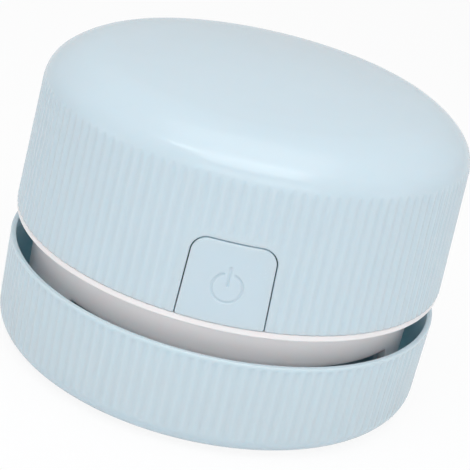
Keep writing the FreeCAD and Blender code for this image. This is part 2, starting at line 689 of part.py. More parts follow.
def neck_chassis():
    """White moulding: flange, neck, floor with the motor seat, posts and board rails."""
    inner = NECK_RADIUS - NECK_WALL
    spigot_top = FLANGE_TOP + SPIGOT_HEIGHT
    body = turned([
        (0, FLOOR_LOW),
        (inner, FLOOR_LOW),
        (inner, NECK_LOW),
        (NECK_RADIUS, NECK_LOW),
        (NECK_RADIUS, FLANGE_LOW),
        (FLANGE_RADIUS - FLANGE_BEVEL, FLANGE_LOW),
        (FLANGE_RADIUS, FLANGE_LOW + FLANGE_BEVEL),
        (FLANGE_RADIUS, FLANGE_TOP),
        (spigot_inner() + SPIGOT_WALL, FLANGE_TOP),
        (spigot_inner() + SPIGOT_WALL, spigot_top),
        (spigot_inner(), spigot_top),
        (spigot_inner(), FLOOR_TOP),
        (MOTOR_SEAT_RADIUS, FLOOR_TOP),
        (MOTOR_SEAT_RADIUS, MOTOR_LOW),
        (0, MOTOR_LOW),
    ])
    front_gap = block((-SPIGOT_FRONT_HALF, SPIGOT_FRONT_HALF), (-FAR, 0), (FLANGE_TOP, spigot_top))
    rear_gap = block((-SPIGOT_REAR_HALF, SPIGOT_REAR_HALF), (0, FAR), (FLANGE_TOP, spigot_top))
    gaps = front_gap.fuse(rear_gap).cut(disc(spigot_inner(), 0, FAR))
    additions = discs_around(POST_CIRCLE, POSTS, POST_RADIUS, SHROUD_TOP, FLOOR_LOW)
    additions += switch_rails() + charge_posts() + battery_stops()
    shaft_hole = disc(MOTOR_BOSS_RADIUS + BORE_EASE, 0, FAR)
    cuts = [shaft_hole]
    for side in (-1, 1):
        x = side * MOTOR_SCREW_PITCH / 2
        cuts.append(disc(MOTOR_SCREW_RADIUS + SCREW_HOLE_EASE, 0, FAR, x))
        cuts.append(disc(MOTOR_SCREW_HEAD_RADIUS + SCREW_HOLE_EASE, 0, MOTOR_SCREW_SEAT, x))
    cuts += discs_around(SHELL_SCREW_CIRCLE, SHELL_SCREWS, SCREW_RADIUS + SCREW_HOLE_EASE, 0, FAR)
    bore_end = SHROUD_LOW + SHROUD_SCREW_LENGTH + SCREW_END_GAP
    cuts += discs_around(POST_CIRCLE, POSTS, SCREW_RADIUS, 0, bore_end)
    cuts += [
        disc(SCREW_RADIUS, FLOOR_TOP, FAR, side * CHARGE_POST_OFFSET, CHARGE_POST_PLACE)
        for side in (-1, 1)
    ]
    return joined([body.cut(gaps)] + additions).cut(cuts)


def switch_rails():
    """Two grooved posts that hold the switch board upright."""
    middle = SWITCH_BOARD_FRONT + BOARD_THICK / 2
    inner = SWITCH_BOARD_WIDTH / 2 - RAIL_BITE
    slot_half = BOARD_THICK / 2 + BORE_EASE
    groove_half = SWITCH_BOARD_WIDTH / 2 + BORE_EASE
    groove = block((-groove_half, groove_half), (middle - slot_half, middle + slot_half), (FLOOR_TOP, FAR))
    rails = []
    for side in (-1, 1):
        x_range = sorted((side * inner, side * (inner + RAIL_WIDTH)))
        y_range = (middle - RAIL_DEPTH / 2, middle + RAIL_DEPTH / 2)
        rails.append(block(x_range, y_range, (FLOOR_TOP, FLOOR_TOP + RAIL_HEIGHT)).cut(groove))
    return rails


def charge_posts():
    return [
        disc(CHARGE_POST_RADIUS, FLOOR_TOP, CHARGE_BOARD_LOW, side * CHARGE_POST_OFFSET, CHARGE_POST_PLACE)
        for side in (-1, 1)
    ]


def battery_stops():
    """Low walls at both ends of the battery holder."""
    end = holder_half_length() + FACE_GAP
    half = HOLDER_WIDTH / 4
    stops = []
    for side in (-1, 1):
        y_range = sorted((side * end, side * (end + STOP_THICK)))
        stops.append(block((-CELL_OFFSET - half, -CELL_OFFSET + half), y_range,
                           (FLOOR_TOP, FLOOR_TOP + STOP_HEIGHT)))
    return stops


def chassis_screws():
    places = [polar(SHELL_SCREW_CIRCLE, angle, 0) for angle in SHELL_SCREWS]
    return Part.makeCompound([screw(place, FLOOR_LOW, SHELL_SCREW_LENGTH) for place in places])


def fan_shroud():
    """Inlet plate under the impeller, with a rounded inlet lip and an upturned rim."""
    lip_outer = IMPELLER_EYE + SHROUD_LIP_WALL
    lip_low = SHROUD_LOW - SHROUD_LIP
    rim_inner = SHROUD_RADIUS - SHROUD_PLATE
    rim_top = SHROUD_TOP + SHROUD_RIM_RISE
    plate = turned([
        (IMPELLER_EYE, lip_low),
        (lip_outer, lip_low),
        (lip_outer, SHROUD_LOW),
        (SHROUD_RADIUS, SHROUD_LOW),
        (SHROUD_RADIUS, rim_top),
        (rim_inner, rim_top),
        (rim_inner, SHROUD_TOP),
        (IMPELLER_EYE, SHROUD_TOP),
    ])
    holes = discs_around(POST_CIRCLE, POSTS, SCREW_RADIUS + SCREW_HOLE_EASE, 0, FAR)
    return plate.cut(holes)


def shroud_screws():
    places = [polar(POST_CIRCLE, angle, 0) for angle in POSTS]
    return Part.makeCompound([screw(place, SHROUD_LOW, SHROUD_SCREW_LENGTH) for place in places])


def blade_point(share, offset):
    """Point beside a blade's middle line, which sweeps back from the eye to the rim."""
    def middle(part):
        radius = IMPELLER_EYE + (IMPELLER_RADIUS - IMPELLER_EYE) * part
        return polar(radius, -BLADE_SWEEP * part ** BLADE_CURVE, 0)
    ahead = middle(min(share + 0.01, 1.0)) - middle(max(share - 0.01, 0.0))
    normal = Vector(-ahead.y, ahead.x, 0).normalize()
    return middle(share) + normal * offset


def impeller():
    """Back disc with a hub and backward-swept blades that hang from it."""
    disc_top = FLOOR_LOW - RUN_GAP
    disc_low = disc_top - IMPELLER_DISC
    blade_low = SHROUD_TOP + RUN_GAP
    half = BLADE_THICK / 2
    near = [blade_point(share, -half) for share in (0, 0.5, 1)]
    far = [blade_point(share, half) for share in (0, 0.5, 1)]
    edges = [arc(*near), line(near[2], far[2]), arc(*reversed(far)), line(far[0], near[0])]
    blade = Part.Face(Part.Wire(edges)).extrude(Vector(0, 0, disc_low - blade_low + IMPELLER_DISC / 2))
    blade.translate(Vector(0, 0, blade_low))
    blades = []
    for index in range(BLADE_COUNT):
        copy = blade.copy()
        copy.rotate(AXIS, UP, index * 360 / BLADE_COUNT)
        blades.append(copy)
    wheel = joined([disc(IMPELLER_RADIUS, disc_low, disc_top), disc(IMPELLER_HUB, blade_low, disc_top)] + blades)
    return wheel.common(disc(IMPELLER_RADIUS, 0, FAR)).cut(disc(SHAFT_RADIUS, 0, FAR))


# ---- motor ---------------------------------------------------------------------------
def motor_can():
    inner = MOTOR_RADIUS - MOTOR_CAN_WALL
    boss_low = MOTOR_LOW - MOTOR_BOSS_HEIGHT
    can = turned([
        (BUSH_RADIUS, boss_low),
        (MOTOR_BOSS_RADIUS, boss_low),
        (MOTOR_BOSS_RADIUS, MOTOR_LOW),
        (MOTOR_RADIUS, MOTOR_LOW),
        (MOTOR_RADIUS, MOTOR_TOP),
        (inner, MOTOR_TOP),
        (inner, MOTOR_LOW + MOTOR_CAN_WALL),
        (BUSH_RADIUS, MOTOR_LOW + MOTOR_CAN_WALL),
    ])
    hole_top = MOTOR_LOW + 2 * MOTOR_CAN_WALL
    holes = [disc(MOTOR_SCREW_RADIUS, 0, hole_top, side * MOTOR_SCREW_PITCH / 2) for side in (-1, 1)]
    return can.cut(holes)


def motor_end_cap():
    """Plastic cap that carries the brushes, the rear bush and the terminals."""
    plug = MOTOR_RADIUS - MOTOR_CAN_WALL - BORE_EASE
    plug_low = MOTOR_TOP - MOTOR_PLUG_DEPTH
    bush_low = MOTOR_BACK - BUSH_LENGTH
    chamber = COMMUTATOR_RADIUS + COMMUTATOR_ROOM
    return turned([
        (chamber, plug_low),
        (plug, plug_low),
        (plug, MOTOR_TOP),
        (MOTOR_RADIUS, MOTOR_TOP),
        (MOTOR_RADIUS, MOTOR_CAP_TOP),
        (MOTOR_BOSS_RADIUS, MOTOR_CAP_TOP),
        (MOTOR_BOSS_RADIUS, MOTOR_BACK),
        (BUSH_RADIUS, MOTOR_BACK),
        (BUSH_RADIUS, bush_low),
        (chamber, bush_low),
    ])


def motor_bushes():
    lows = (MOTOR_LOW - MOTOR_BOSS_HEIGHT, MOTOR_BACK - BUSH_LENGTH)
    bore = SHAFT_RADIUS + SHAFT_GAP
    return Part.makeCompound([ring(bore, BUSH_RADIUS, low, low + BUSH_LENGTH) for low in lows])


def motor_magnets():
    """Two curved magnets against the can's wall."""
    outer = MOTOR_RADIUS - MOTOR_CAN_WALL
    low = armature_low() - MAGNET_OVERHANG
    high = armature_low() + ARMATURE_LENGTH + MAGNET_OVERHANG
    magnets = []
    for middle in (0, 180):
        sector = Part.makeCylinder(outer, high - low, Vector(0, 0, low), UP, MAGNET_ANGLE)
        sector.rotate(AXIS, UP, middle - MAGNET_ANGLE / 2)
        magnets.append(sector.cut(disc(outer - MAGNET_THICK, low, high)))
    return Part.makeCompound(magnets)


def armature_low():
    return MOTOR_LOW + MOTOR_CAN_WALL + ARMATURE_CLEARANCE


def motor_armature():
    """Slotted core and commutator on the shaft."""
    low = armature_low()
    high = low + ARMATURE_LENGTH
    angles = [(index + 0.5) * 360 / ARMATURE_SLOTS for index in range(ARMATURE_SLOTS)]
    pockets = discs_around(ARMATURE_SLOT_CIRCLE, angles, ARMATURE_SLOT_RADIUS, low, high)
    necks = [
        spoke(ARMATURE_SLOT_CIRCLE, ARMATURE_RADIUS + 1, ARMATURE_NECK, low, high, angle)
        for angle in angles
    ]
    core = disc(ARMATURE_RADIUS, low, high).cut(pockets + necks)
    commutator = disc(COMMUTATOR_RADIUS, high, high + COMMUTATOR_LENGTH)
    return core.fuse(commutator).cut(disc(SHAFT_RADIUS, 0, FAR)).removeSplitter()


def motor_shaft():
    return disc(SHAFT_RADIUS, SHROUD_TOP + RUN_GAP + SHAFT_SHORT, MOTOR_BACK + SHAFT_TAIL)


def motor_terminals():
    half = TERMINAL_WIDTH / 2
    return Part.makeCompound([
        block((x - half, x + half), (-TERMINAL_THICK / 2, TERMINAL_THICK / 2),
              (MOTOR_CAP_TOP, MOTOR_CAP_TOP + TERMINAL_RISE))
        for x in (-TERMINAL_SPREAD, TERMINAL_SPREAD)
    ])


def motor_screws():
    places = [Vector(side * MOTOR_SCREW_PITCH / 2, 0, 0) for side in (-1, 1)]
    return Part.makeCompound([
        driven_screw(place, MOTOR_SCREW_SEAT, MOTOR_SCREW_LENGTH, 1,
                     MOTOR_SCREW_RADIUS, MOTOR_SCREW_HEAD_RADIUS, MOTOR_SCREW_HEAD_HEIGHT)
        for place in places
    ])


# ---- battery, charging and switch ----------------------------------------------------
def holder_half_length():
    return CELL_LENGTH / 2 + TAB_THICK + BORE_EASE + HOLDER_END_WALL


def battery_cell():
    """Round cell lying along Y beside the motor, with its nub to the rear."""
    half = CELL_LENGTH / 2
    can = rod(CELL_RADIUS, -half, half - CELL_NUB_HEIGHT, -CELL_OFFSET, CELL_MIDDLE)
    nub = rod(CELL_NUB_RADIUS, half - CELL_NUB_HEIGHT, half, -CELL_OFFSET, CELL_MIDDLE)
    return can.fuse(nub)


def battery_holder():
    """Open cradle under the cell."""
    end = holder_half_length()
    inner = end - HOLDER_END_WALL
    x_range = (-CELL_OFFSET - HOLDER_WIDTH / 2, -CELL_OFFSET + HOLDER_WIDTH / 2)
    cradle = block(x_range, (-end, end), (FLOOR_TOP, FLOOR_TOP + HOLDER_HEIGHT))
    return cradle.cut(rod(CELL_RADIUS + CELL_EASE, -inner, inner, -CELL_OFFSET, CELL_MIDDLE))


def battery_tabs():
    """Metal strips at both ends of the cell."""
    half = TAB_WIDTH / 2
    tabs = []
    for side in (-1, 1):
        y_range = sorted((side * CELL_LENGTH / 2, side * (CELL_LENGTH / 2 + TAB_THICK)))
        tabs.append(block((-CELL_OFFSET - half, -CELL_OFFSET + half), y_range,
                          (CELL_MIDDLE - half, CELL_MIDDLE + TAB_REACH)))
    return Part.makeCompound(tabs)


def charge_board():
    half = CHARGE_BOARD_WIDTH / 2
    board = block((-half, half), (CHARGE_BOARD_FRONT, CHARGE_BOARD_REAR), (CHARGE_BOARD_LOW, CHARGE_BOARD_TOP))
    hole = SCREW_RADIUS + SCREW_HOLE_EASE
    holes = [disc(hole, 0, FAR, side * CHARGE_POST_OFFSET, CHARGE_POST_PLACE) for side in (-1, 1)]
    return board.cut(holes)


def board_screws():
    places = [Vector(side * CHARGE_POST_OFFSET, CHARGE_POST_PLACE, 0) for side in (-1, 1)]
    length = BOARD_THICK + BOARD_SCREW_BITE
    return Part.makeCompound([screw(place, CHARGE_BOARD_TOP, length, -1) for place in places])


def usb_socket():
    """Metal shell of the charging socket, open to the rear."""
    front = USB_REAR - USB_LENGTH
    shell = stadium(USB_WIDTH, USB_HEIGHT, (front, USB_REAR), USB_MIDDLE)
    return shell.cut(stadium(USB_WIDTH - 2 * USB_WALL, USB_HEIGHT - 2 * USB_WALL,
                             (front + USB_BACK_WALL, USB_REAR + 1), USB_MIDDLE))


def usb_tongue():
    half = USB_TONGUE_WIDTH / 2
    front = USB_REAR - USB_LENGTH + USB_BACK_WALL
    return block((-half, half), (front, USB_REAR - USB_TONGUE_INSET),
                 (USB_MIDDLE - USB_TONGUE_THICK / 2, USB_MIDDLE + USB_TONGUE_THICK / 2))


def switch_board():
    half = SWITCH_BOARD_WIDTH / 2
    return block((-half, half), (SWITCH_BOARD_FRONT, SWITCH_BOARD_FRONT + BOARD_THICK),
                 (FLOOR_TOP, FLOOR_TOP + SWITCH_BOARD_HEIGHT))


def switch_body():
    """Push switch on the board's front, with the bore that its plunger slides in."""
    half = SWITCH_BODY / 2
    body = block((-half, half), (SWITCH_FACE, SWITCH_BOARD_FRONT), (SWITCH_MIDDLE - half, SWITCH_MIDDLE + half))
    depth = PLUNGER_LENGTH - PLUNGER_OUT + BUTTON_TRAVEL + FIT_GAP
    return body.cut(rod(PLUNGER_RADIUS + SHAFT_GAP, SWITCH_FACE - 1, SWITCH_FACE + depth, 0, SWITCH_MIDDLE))


def switch_plunger():
    return rod(PLUNGER_RADIUS, PLUNGER_TIP, PLUNGER_TIP + PLUNGER_LENGTH, 0, SWITCH_MIDDLE)


def power_button():
    """Button flush with the smooth wall, with a flange behind the shell and a stem."""
    flange_outer = HEAD_SHELL_WALL + FIT_GAP
    hollow = head_form(flange_outer + BUTTON_FLANGE, SHELL_LOW - 1)
    y_range = (-FAR, -HEAD_RADIUS / 2)
    skin = head_form(0).common(button_prism(0, y_range)).cut(hollow)
    flange = head_form(flange_outer).common(button_prism(BUTTON_FLANGE_REACH, y_range)).cut(hollow)
    stem_start = -(head_radius_at(SWITCH_MIDDLE) - flange_outer - BUTTON_FLANGE / 2)
    stem = rod(BUTTON_STEM, stem_start, PLUNGER_TIP - STEM_GAP, 0, SWITCH_MIDDLE)
    floor_room = disc(spigot_inner() + BUTTON_TRAVEL + FIT_GAP, 0, FLOOR_TOP + FIT_GAP)
    return joined([skin, flange, stem]).cut(floor_room)


# ---- leads ---------------------------------------------------------------------------
def lead(points):
    """Round wire along straight runs that are joined by tangent arcs."""
    edges = []
    start = points[0]
    for before, corner, after in zip(points, points[1:], points[2:]):
        arriving = (corner - before).normalize()
        leaving = (after - corner).normalize()
        half_turn = arriving.getAngle(leaving) / 2
        shortest = min((corner - before).Length, (after - corner).Length)
        bend = min(LEAD_BEND, LEAD_BEND_SHARE * shortest / math.tan(half_turn))
        trim = bend * math.tan(half_turn)
        to_middle = (leaving - arriving).normalize()
        nearest = corner + to_middle * (bend / math.cos(half_turn) - bend)
        edges.append(line(start, corner - arriving * trim))
        edges.append(arc(corner - arriving * trim, nearest, corner + leaving * trim))
        start = corner + leaving * trim
    edges.append(line(start, points[-1]))
    path = Part.Wire(edges)
    section = Part.Wire(Part.Circle(points[0], points[1] - points[0], LEAD_RADIUS).toShape())
    return path.makePipe(Part.Face(section))


def motor_lead(side):
    """From the charging board up beside the motor to its terminal."""
    high = MOTOR_CAP_TOP + TERMINAL_RISE - LEAD_RADIUS
    x = side * MOTOR_LEAD_OFFSET
    y = CHARGE_BOARD_FRONT + LEAD_INSET
    beside = MOTOR_RADIUS + MOTOR_LEAD_CLEAR
    return lead([
        Vector(x, y, CHARGE_BOARD_TOP),
        Vector(x, y, CHARGE_BOARD_TOP + LEAD_STRAIGHT),
        Vector(side * TERMINAL_SPREAD, beside, high),
        Vector(side * TERMINAL_SPREAD, TERMINAL_THICK / 2, high),
    ])


def battery_lead_rear():
    """From the cell's rear strip to the charging board."""
    tab = CELL_LENGTH / 2 + TAB_THICK
    high = CELL_MIDDLE + TAB_REACH - LEAD_RADIUS
    x = -CELL_OFFSET + TAB_WIDTH / 3
    return lead([
        Vector(x, tab, high),
        Vector(x, tab + LEAD_STRAIGHT, high),
        Vector(-BATTERY_LEAD_OFFSET, CHARGE_POST_PLACE, high),
        Vector(-BATTERY_LEAD_OFFSET, CHARGE_POST_PLACE, CHARGE_BOARD_TOP),
    ])


def battery_lead_front():
    """From the cell's front strip over the cell to the charging board."""
    tab = CELL_LENGTH / 2 + TAB_THICK
    low = CELL_MIDDLE + TAB_REACH - LEAD_RADIUS
    high = CELL_MIDDLE + CELL_RADIUS + LEAD_CLEAR
    x = -CELL_OFFSET + TAB_WIDTH / 3
    return lead([
        Vector(x, -tab, low),
        Vector(x, -tab - LEAD_STRAIGHT, low),
        Vector(x, -tab - LEAD_STRAIGHT, high),
        Vector(x, tab - LEAD_STRAIGHT, high),
        Vector(BATTERY_LEAD_OFFSET, CHARGE_POST_PLACE, high),
        Vector(BATTERY_LEAD_OFFSET, CHARGE_POST_PLACE, CHARGE_BOARD_TOP),
    ])


def switch_lead(height, end):
    """From the switch board's back, round the motor on +X, to the charging board's front."""
    back = SWITCH_BOARD_FRONT + BOARD_THICK
    edge = (CHARGE_BOARD_LOW + CHARGE_BOARD_TOP) / 2
    return lead([
        Vector(SWITCH_LEAD_START, back, height),
        Vector(SWITCH_LEAD_START, back + LEAD_STRAIGHT, height),
        Vector(SWITCH_LEAD_REACH, -MOTOR_RADIUS, height),
        Vector(SWITCH_LEAD_REACH, MOTOR_RADIUS, height),
        Vector(end, CHARGE_BOARD_FRONT - LEAD_STRAIGHT, edge),
        Vector(end, CHARGE_BOARD_FRONT, edge),
    ])


def leads_red():
    height = (CHARGE_BOARD_LOW + CHARGE_BOARD_TOP) / 2
    return Part.makeCompound([motor_lead(1), battery_lead_rear(), switch_lead(height, SWITCH_LEAD_END)])


def leads_black():
    height = CHARGE_BOARD_TOP + SWITCH_LEAD_SPREAD
    end = SWITCH_LEAD_END - SWITCH_LEAD_SPREAD
    return Part.makeCompound([motor_lead(-1), battery_lead_front(), switch_lead(height, end)])


PARTS = (
    base_shell, dust_cup, brush_plate, brush_tufts, glide_feet, base_screws,
    filter_frame, filter_mesh, seal_ring,
    top_shell, neck_chassis, chassis_screws, fan_shroud, shroud_screws,
    motor_can, motor_end_cap, motor_bushes, motor_magnets, motor_terminals, motor_screws,
    battery_cell, battery_holder, battery_tabs, charge_board, board_screws, usb_socket, usb_tongue,
    switch_board, switch_body, leads_red, leads_black,
    motor_shaft, motor_armature, impeller,
    power_button, switch_plunger,
)


def main():
    os.makedirs("parts", exist_ok=True)
    for make in PARTS:
        shape = make()
        shape.exportStep(f"parts/{make.__name__}.step")
        facts = f"solids {len(shape.Solids):3}  volume {shape.Volume:10.2f}  valid {shape.isValid()}"
        print(f"{make.__name__:16} {facts}")


main()
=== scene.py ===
"""Looks, lights and camera of the desktop mini vacuum cleaner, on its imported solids.

Sizes in the tables are millimetres, and meshes are made in metres. The cleaner's axis
is Z, the table is z = 0 and the power button faces -Y.
"""

import bmesh
import bpy
import contextlib
import math
import numpy as np
from mathutils import Matrix, Vector


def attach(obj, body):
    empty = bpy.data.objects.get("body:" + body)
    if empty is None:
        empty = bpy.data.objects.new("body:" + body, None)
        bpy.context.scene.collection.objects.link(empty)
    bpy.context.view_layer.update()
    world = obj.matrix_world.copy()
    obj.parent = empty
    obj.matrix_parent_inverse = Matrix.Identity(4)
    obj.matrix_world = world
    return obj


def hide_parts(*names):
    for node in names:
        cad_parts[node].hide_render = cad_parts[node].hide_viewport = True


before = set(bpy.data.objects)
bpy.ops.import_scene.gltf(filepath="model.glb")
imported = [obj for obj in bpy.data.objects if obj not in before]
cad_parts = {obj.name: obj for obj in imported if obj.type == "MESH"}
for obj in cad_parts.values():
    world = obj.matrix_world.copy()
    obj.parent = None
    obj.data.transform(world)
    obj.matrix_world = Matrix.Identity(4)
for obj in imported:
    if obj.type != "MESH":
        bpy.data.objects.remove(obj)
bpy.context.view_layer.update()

MM = 0.001
RIB_SHARE = "rib_share"
RIB_ROOM = "rib_room"
FRONT = -math.pi / 2
REAR = math.pi / 2

# ---- base ---------------------------------------------------------------------------
TABLE_GAP = 0.5
RIM_TOP = 19.65            # flat rim, which leaves an open ring under the head
BASE_RIM_RADIUS = 43.18
BASE_LOW_RADIUS = 43.0
BASE_ROUNDING = 4.28
BASE_BORE = 42.1
BASE_FLOOR_TOP = 2.7
BASE_BEVEL = 1.2
RIM_ROUNDING = 0.3
MOUTH_RADIUS = 21.4
FOOT_CIRCLE = 36.0
FOOT_RADIUS = 3.0
FOOT_TOP = 1.0
FOOT_ROUNDING = 0.4
FOOT_SEAT_RADIUS = 3.1
FEET = (0, 90, 180, 270)
SCREW_CIRCLE = 37.2
SCREW_SINK_RADIUS = 2.15
SCREW_SINK_TOP = 1.7
SCREW_HOLE_RADIUS = 1.2
BASE_SCREWS = (45, 135, 225, 315)
PLATE_REACH = 40.5         # the floor plate takes in this much of the rounding
PLATE_SIDE_LOW = 1.3       # above it, the plate's outer side lies inside the wall
CUTTER_LOW = -1
CUTTER_TOP = 5
ROUNDING_ROWS = 17
BASE_WALL_ROWS = 10
RIM_TURNS = (0, 22, 45, 67, 90)
SEAT_OUTLINE = ((36.5, 2.7), (42.2, 2.7), (42.2, 13.4), (38.65, 13.4), (38.65, 11.95), (36.5, 11.95))
SEAT_WIDTH = 2.0
SEAT_EDGE = 0.25
SEATS = (29.5, 154, 209.5, 334)

# ---- head ---------------------------------------------------------------------------
SHELL_LOW = 26.3
SHELL_WALL = 1.8
SHELL_EDGE = 0.3
HEAD_RADIUS = 43.0
HEAD_LEAN = 1.0
SHOULDER_LOW = 51.15
SHOULDER_ARCS = ((6.7, 44.5, 16), (16.9, 32.9, 14), (100.0, 3.351, 4))  # radius, turn, rows
HEAD_TOP = 62.5
WALL_ROW = 6               # first row of the profile on the leaning wall
WALL_ROWS = 18
CROWN_ROWS = (20.0, 14.0, 8.0, 3.0)
FLANGE_LOW = 24.85
NECK_RADIUS = 38.45
NECK_INNER = 36.9
NECK_LOW = 17.15           # neck's edge over its air outlets
SKIRT_LOW = 12.0           # and at its deep sides
NECK_ROOT = 25.3           # inside the flange and the floor
NECK_ROUNDING = 0.3
NECK_SHARES = (0.15, 0.4, 0.7, 1.0)
CHASSIS_EDGE = 0.15
OUTLET_HALF_ANGLE = 53.5   # either side of an outlet's middle
OUTLET_TURN = 7.5          # by which the middles stand off the front and the rear
OUTLET_SLANT = 0.9         # half the width over which an outlet's side slants
NECK_COLUMNS = 240

# ---- ribs ---------------------------------------------------------------------------
RIBS = 124
RIB_SAMPLES = 8
RIB_DEPTH = 0.25
RIB_SOFTNESS = 0.1
RIM_BAND = 0.6             # smooth band under the base's rim
RIM_FADE = 0.5
COLUMNS = RIBS * RIB_SAMPLES
COLUMN_STEP = 360 / COLUMNS
INNER_COLUMNS = 2 * RIBS
RIB_REACH = 3.0            # wall line to form, past which no groove reaches

# ---- button and charging opening ----------------------------------------------------
WINDOW_LOW_HALF = 8.205
WINDOW_TOP_HALF = 7.68
WINDOW_TOP = 41.68
WINDOW_CORNER = 3.18
WINDOW_BORDER = 0.8        # smooth strip beside the window, before the ribs set in
WINDOW_FADE = 0.7
WINDOW_PATCH_REACH = 14.2  # degrees either side of the front
WINDOW_PATCH_RISE = 2.0    # above the window
INNER_WINDOW_REACH = 11.7
EDGE_ROUNDING = 0.28
ROUNDING_STEPS = (0.02, 0.07, 0.13, EDGE_ROUNDING)
PATCH_STEPS = (0.5, 0.9, 1.3)
OPENING_WALL = (1.7, 0.8, 0.2)  # depths of the points on an opening's side
BUTTON_GAP = 0.18
BUTTON_WALL = (2.6, 1.2)   # depths of the points on the cap's side
BUTTON_FACE_STEPS = (0.6, 1.1, 1.8, 2.5)
BUTTON_LOW_CORNER = 0.5
BUTTON_LEVEL_POINTS = 30
BUTTON_SIDE_POINTS = 26
BUTTON_CORNER_POINTS = 16
SYMBOL_HEIGHT = 33.25
SYMBOL_RADIUS = 2.7
SYMBOL_HALF_STROKE = 0.22
SYMBOL_GAP = 24.0          # degrees either side of the top
SYMBOL_BAR = (0.45, 3.7)
SYMBOL_DEPTH = 0.2
SYMBOL_SLOPE = 0.12
SYMBOL_RINGS = (4.4, *np.linspace(4.0, 0.1, 60))
USB_HALF_WIDTH = 4.82
USB_HALF_HEIGHT = 1.98
USB_MIDDLE = 32.23
USB_PATCH_REACH = 9.2      # degrees either side of the rear
USB_PATCH_RISE = 1.2       # above and below the opening
INNER_USB_REACH = 6.5
INNER_USB_ROOM = 0.6

# ---- brush, filter and screws -------------------------------------------------------
TUFT_ROWS = (12.4, 16.2)
TUFT_COUNT = 26
TUFT_SPREAD = 0.68
BRISTLES = 9
BRISTLE_RADIUS = 0.13
BRISTLE_ROOT = 2.85
BRISTLE_LENGTH = 2.7
BRISTLE_LEAN = 0.1
BRISTLE_TIP = 0.55         # share of the radius left at the tip
BRISTLE_TURN = 6.28
BRISTLE_SPIRAL = 2.4       # turn from one bristle of a tuft to the next
BRISTLE_SEED = 4
CLOTH_RADIUS = 30.85
CLOTH_HEIGHT = 14.0
CLOTH_PITCH = 1.0
CLOTH_THREADS = 61
THREAD_RADIUS = 0.11
THREAD_WAVE = 0.85         # share of its radius by which a thread rises and falls
SEAL_OUTLINE_LOW = ((31.2, 15.7), (33.4, 15.7))
SEAL_MIDDLE = (32.3, 16.2)
SEAL_ROUNDING = 1.1
SEAL_SPREAD = 70.0         # degrees either side of the lip's top
SCREW_SINK = 1.7
SCREW_DOME_POWER = 4.0
SCREW_DOME_DROP = 0.35
SCREW_DOME_DRAW_IN = 0.12
SCREW_RECESS_REACH = 1.2
SCREW_POINT = 0.4          # share of the radius left at the point
SCREW_SEED = 3

# ---- solids with rounded edges: rounding of their edges ------------------------------
MOULDING_EDGE = 0.18
BLADE_EDGE = 0.12
SHARP_EDGE = 32.0          # degrees past which an edge is rounded
CREASE = 50.0              # degrees past which shading breaks

# ---- studio and camera ----------------------------------------------------------------
PICTURE = 470
SENSOR = 36
PIXELS_PER_MM = 4.98
CAMERA_DISTANCE = 300
CAMERA_SHIFT = (5.26, 2.61)
CAMERA_TURNS = (22.58, 2.0, 13.19)  # elevation, azimuth, roll
LAMP_TARGET = (0, 0, 30)
FLOOR_REACH = 3000
FLOOR_COLOUR = (0.85, 0.86, 0.87, 1)
FLOOR_ROUGHNESS = 0.9
FLOOR_WHITE = 0.9
WORLD_LIGHT = 0.62
LAMPS = (  # name, place, size, energy
    ("key", (10, -260, 450), (380, 230), 0.68),
    ("overhead", (0, -60, 470), (420, 300), 0.42),
    ("strip", (-190, -170, 400), (90, 26), 0.07),
    ("left", (-430, -120, 80), (160, 160), 0.08),
    ("right", (430, -120, 80), (160, 160), 0.06),
    ("fill", (120, -420, 90), (500, 260), 0.12),
    ("band", (20, -430, 230), (520, 110), 0.22),
)


# ---- node trees ----------------------------------------------------------------------
class Value:
    """A shader socket that takes part in Python expressions."""

    def __init__(self, tree, socket):
        self.tree = tree
        self.socket = socket

    def math(self, operation, *others):
        return node(self.tree, "ShaderNodeMath", {"operation": operation}, [self, *others])

    def __add__(self, other):
        return self.math("ADD", other)

    __radd__ = __add__

    def __mul__(self, other):
        return self.math("MULTIPLY", other)

    __rmul__ = __mul__

    def __sub__(self, other):
        return self.math("SUBTRACT", other)

    def __truediv__(self, other):
        return self.math("DIVIDE", other)

    def __rtruediv__(self, other):
        return node(self.tree, "ShaderNodeMath", {"operation": "DIVIDE"}, [other, self])

    def __rsub__(self, other):
        return node(self.tree, "ShaderNodeMath", {"operation": "SUBTRACT"}, [other, self])

    def __neg__(self):
        return self * -1.0

    def beside(self, output):
        """Another output of the same node."""
        return Value(self.tree, self.socket.node.outputs[output])


def feed(tree, socket, value):
    """Links a Value, or each of a list of them, to a socket, or sets a plain value."""
    if isinstance(value, Value):
        tree.links.new(value.socket, socket)
    elif isinstance(value, list):
        for part in reversed(value):
            tree.links.new(part.socket, socket)
    else:
        socket.default_value = value


def node(tree, kind, settings, inputs, output=0):
    """Adds a node, sets it, feeds its inputs and returns one output as a Value."""
    made = tree.nodes.new(kind)
    for name, value in settings.items():
        setattr(made, name, value)
    items = inputs.items() if isinstance(inputs, dict) else enumerate(inputs)
    for key, value in items:
        feed(tree, made.inputs[key], value)
    return Value(tree, made.outputs[output])


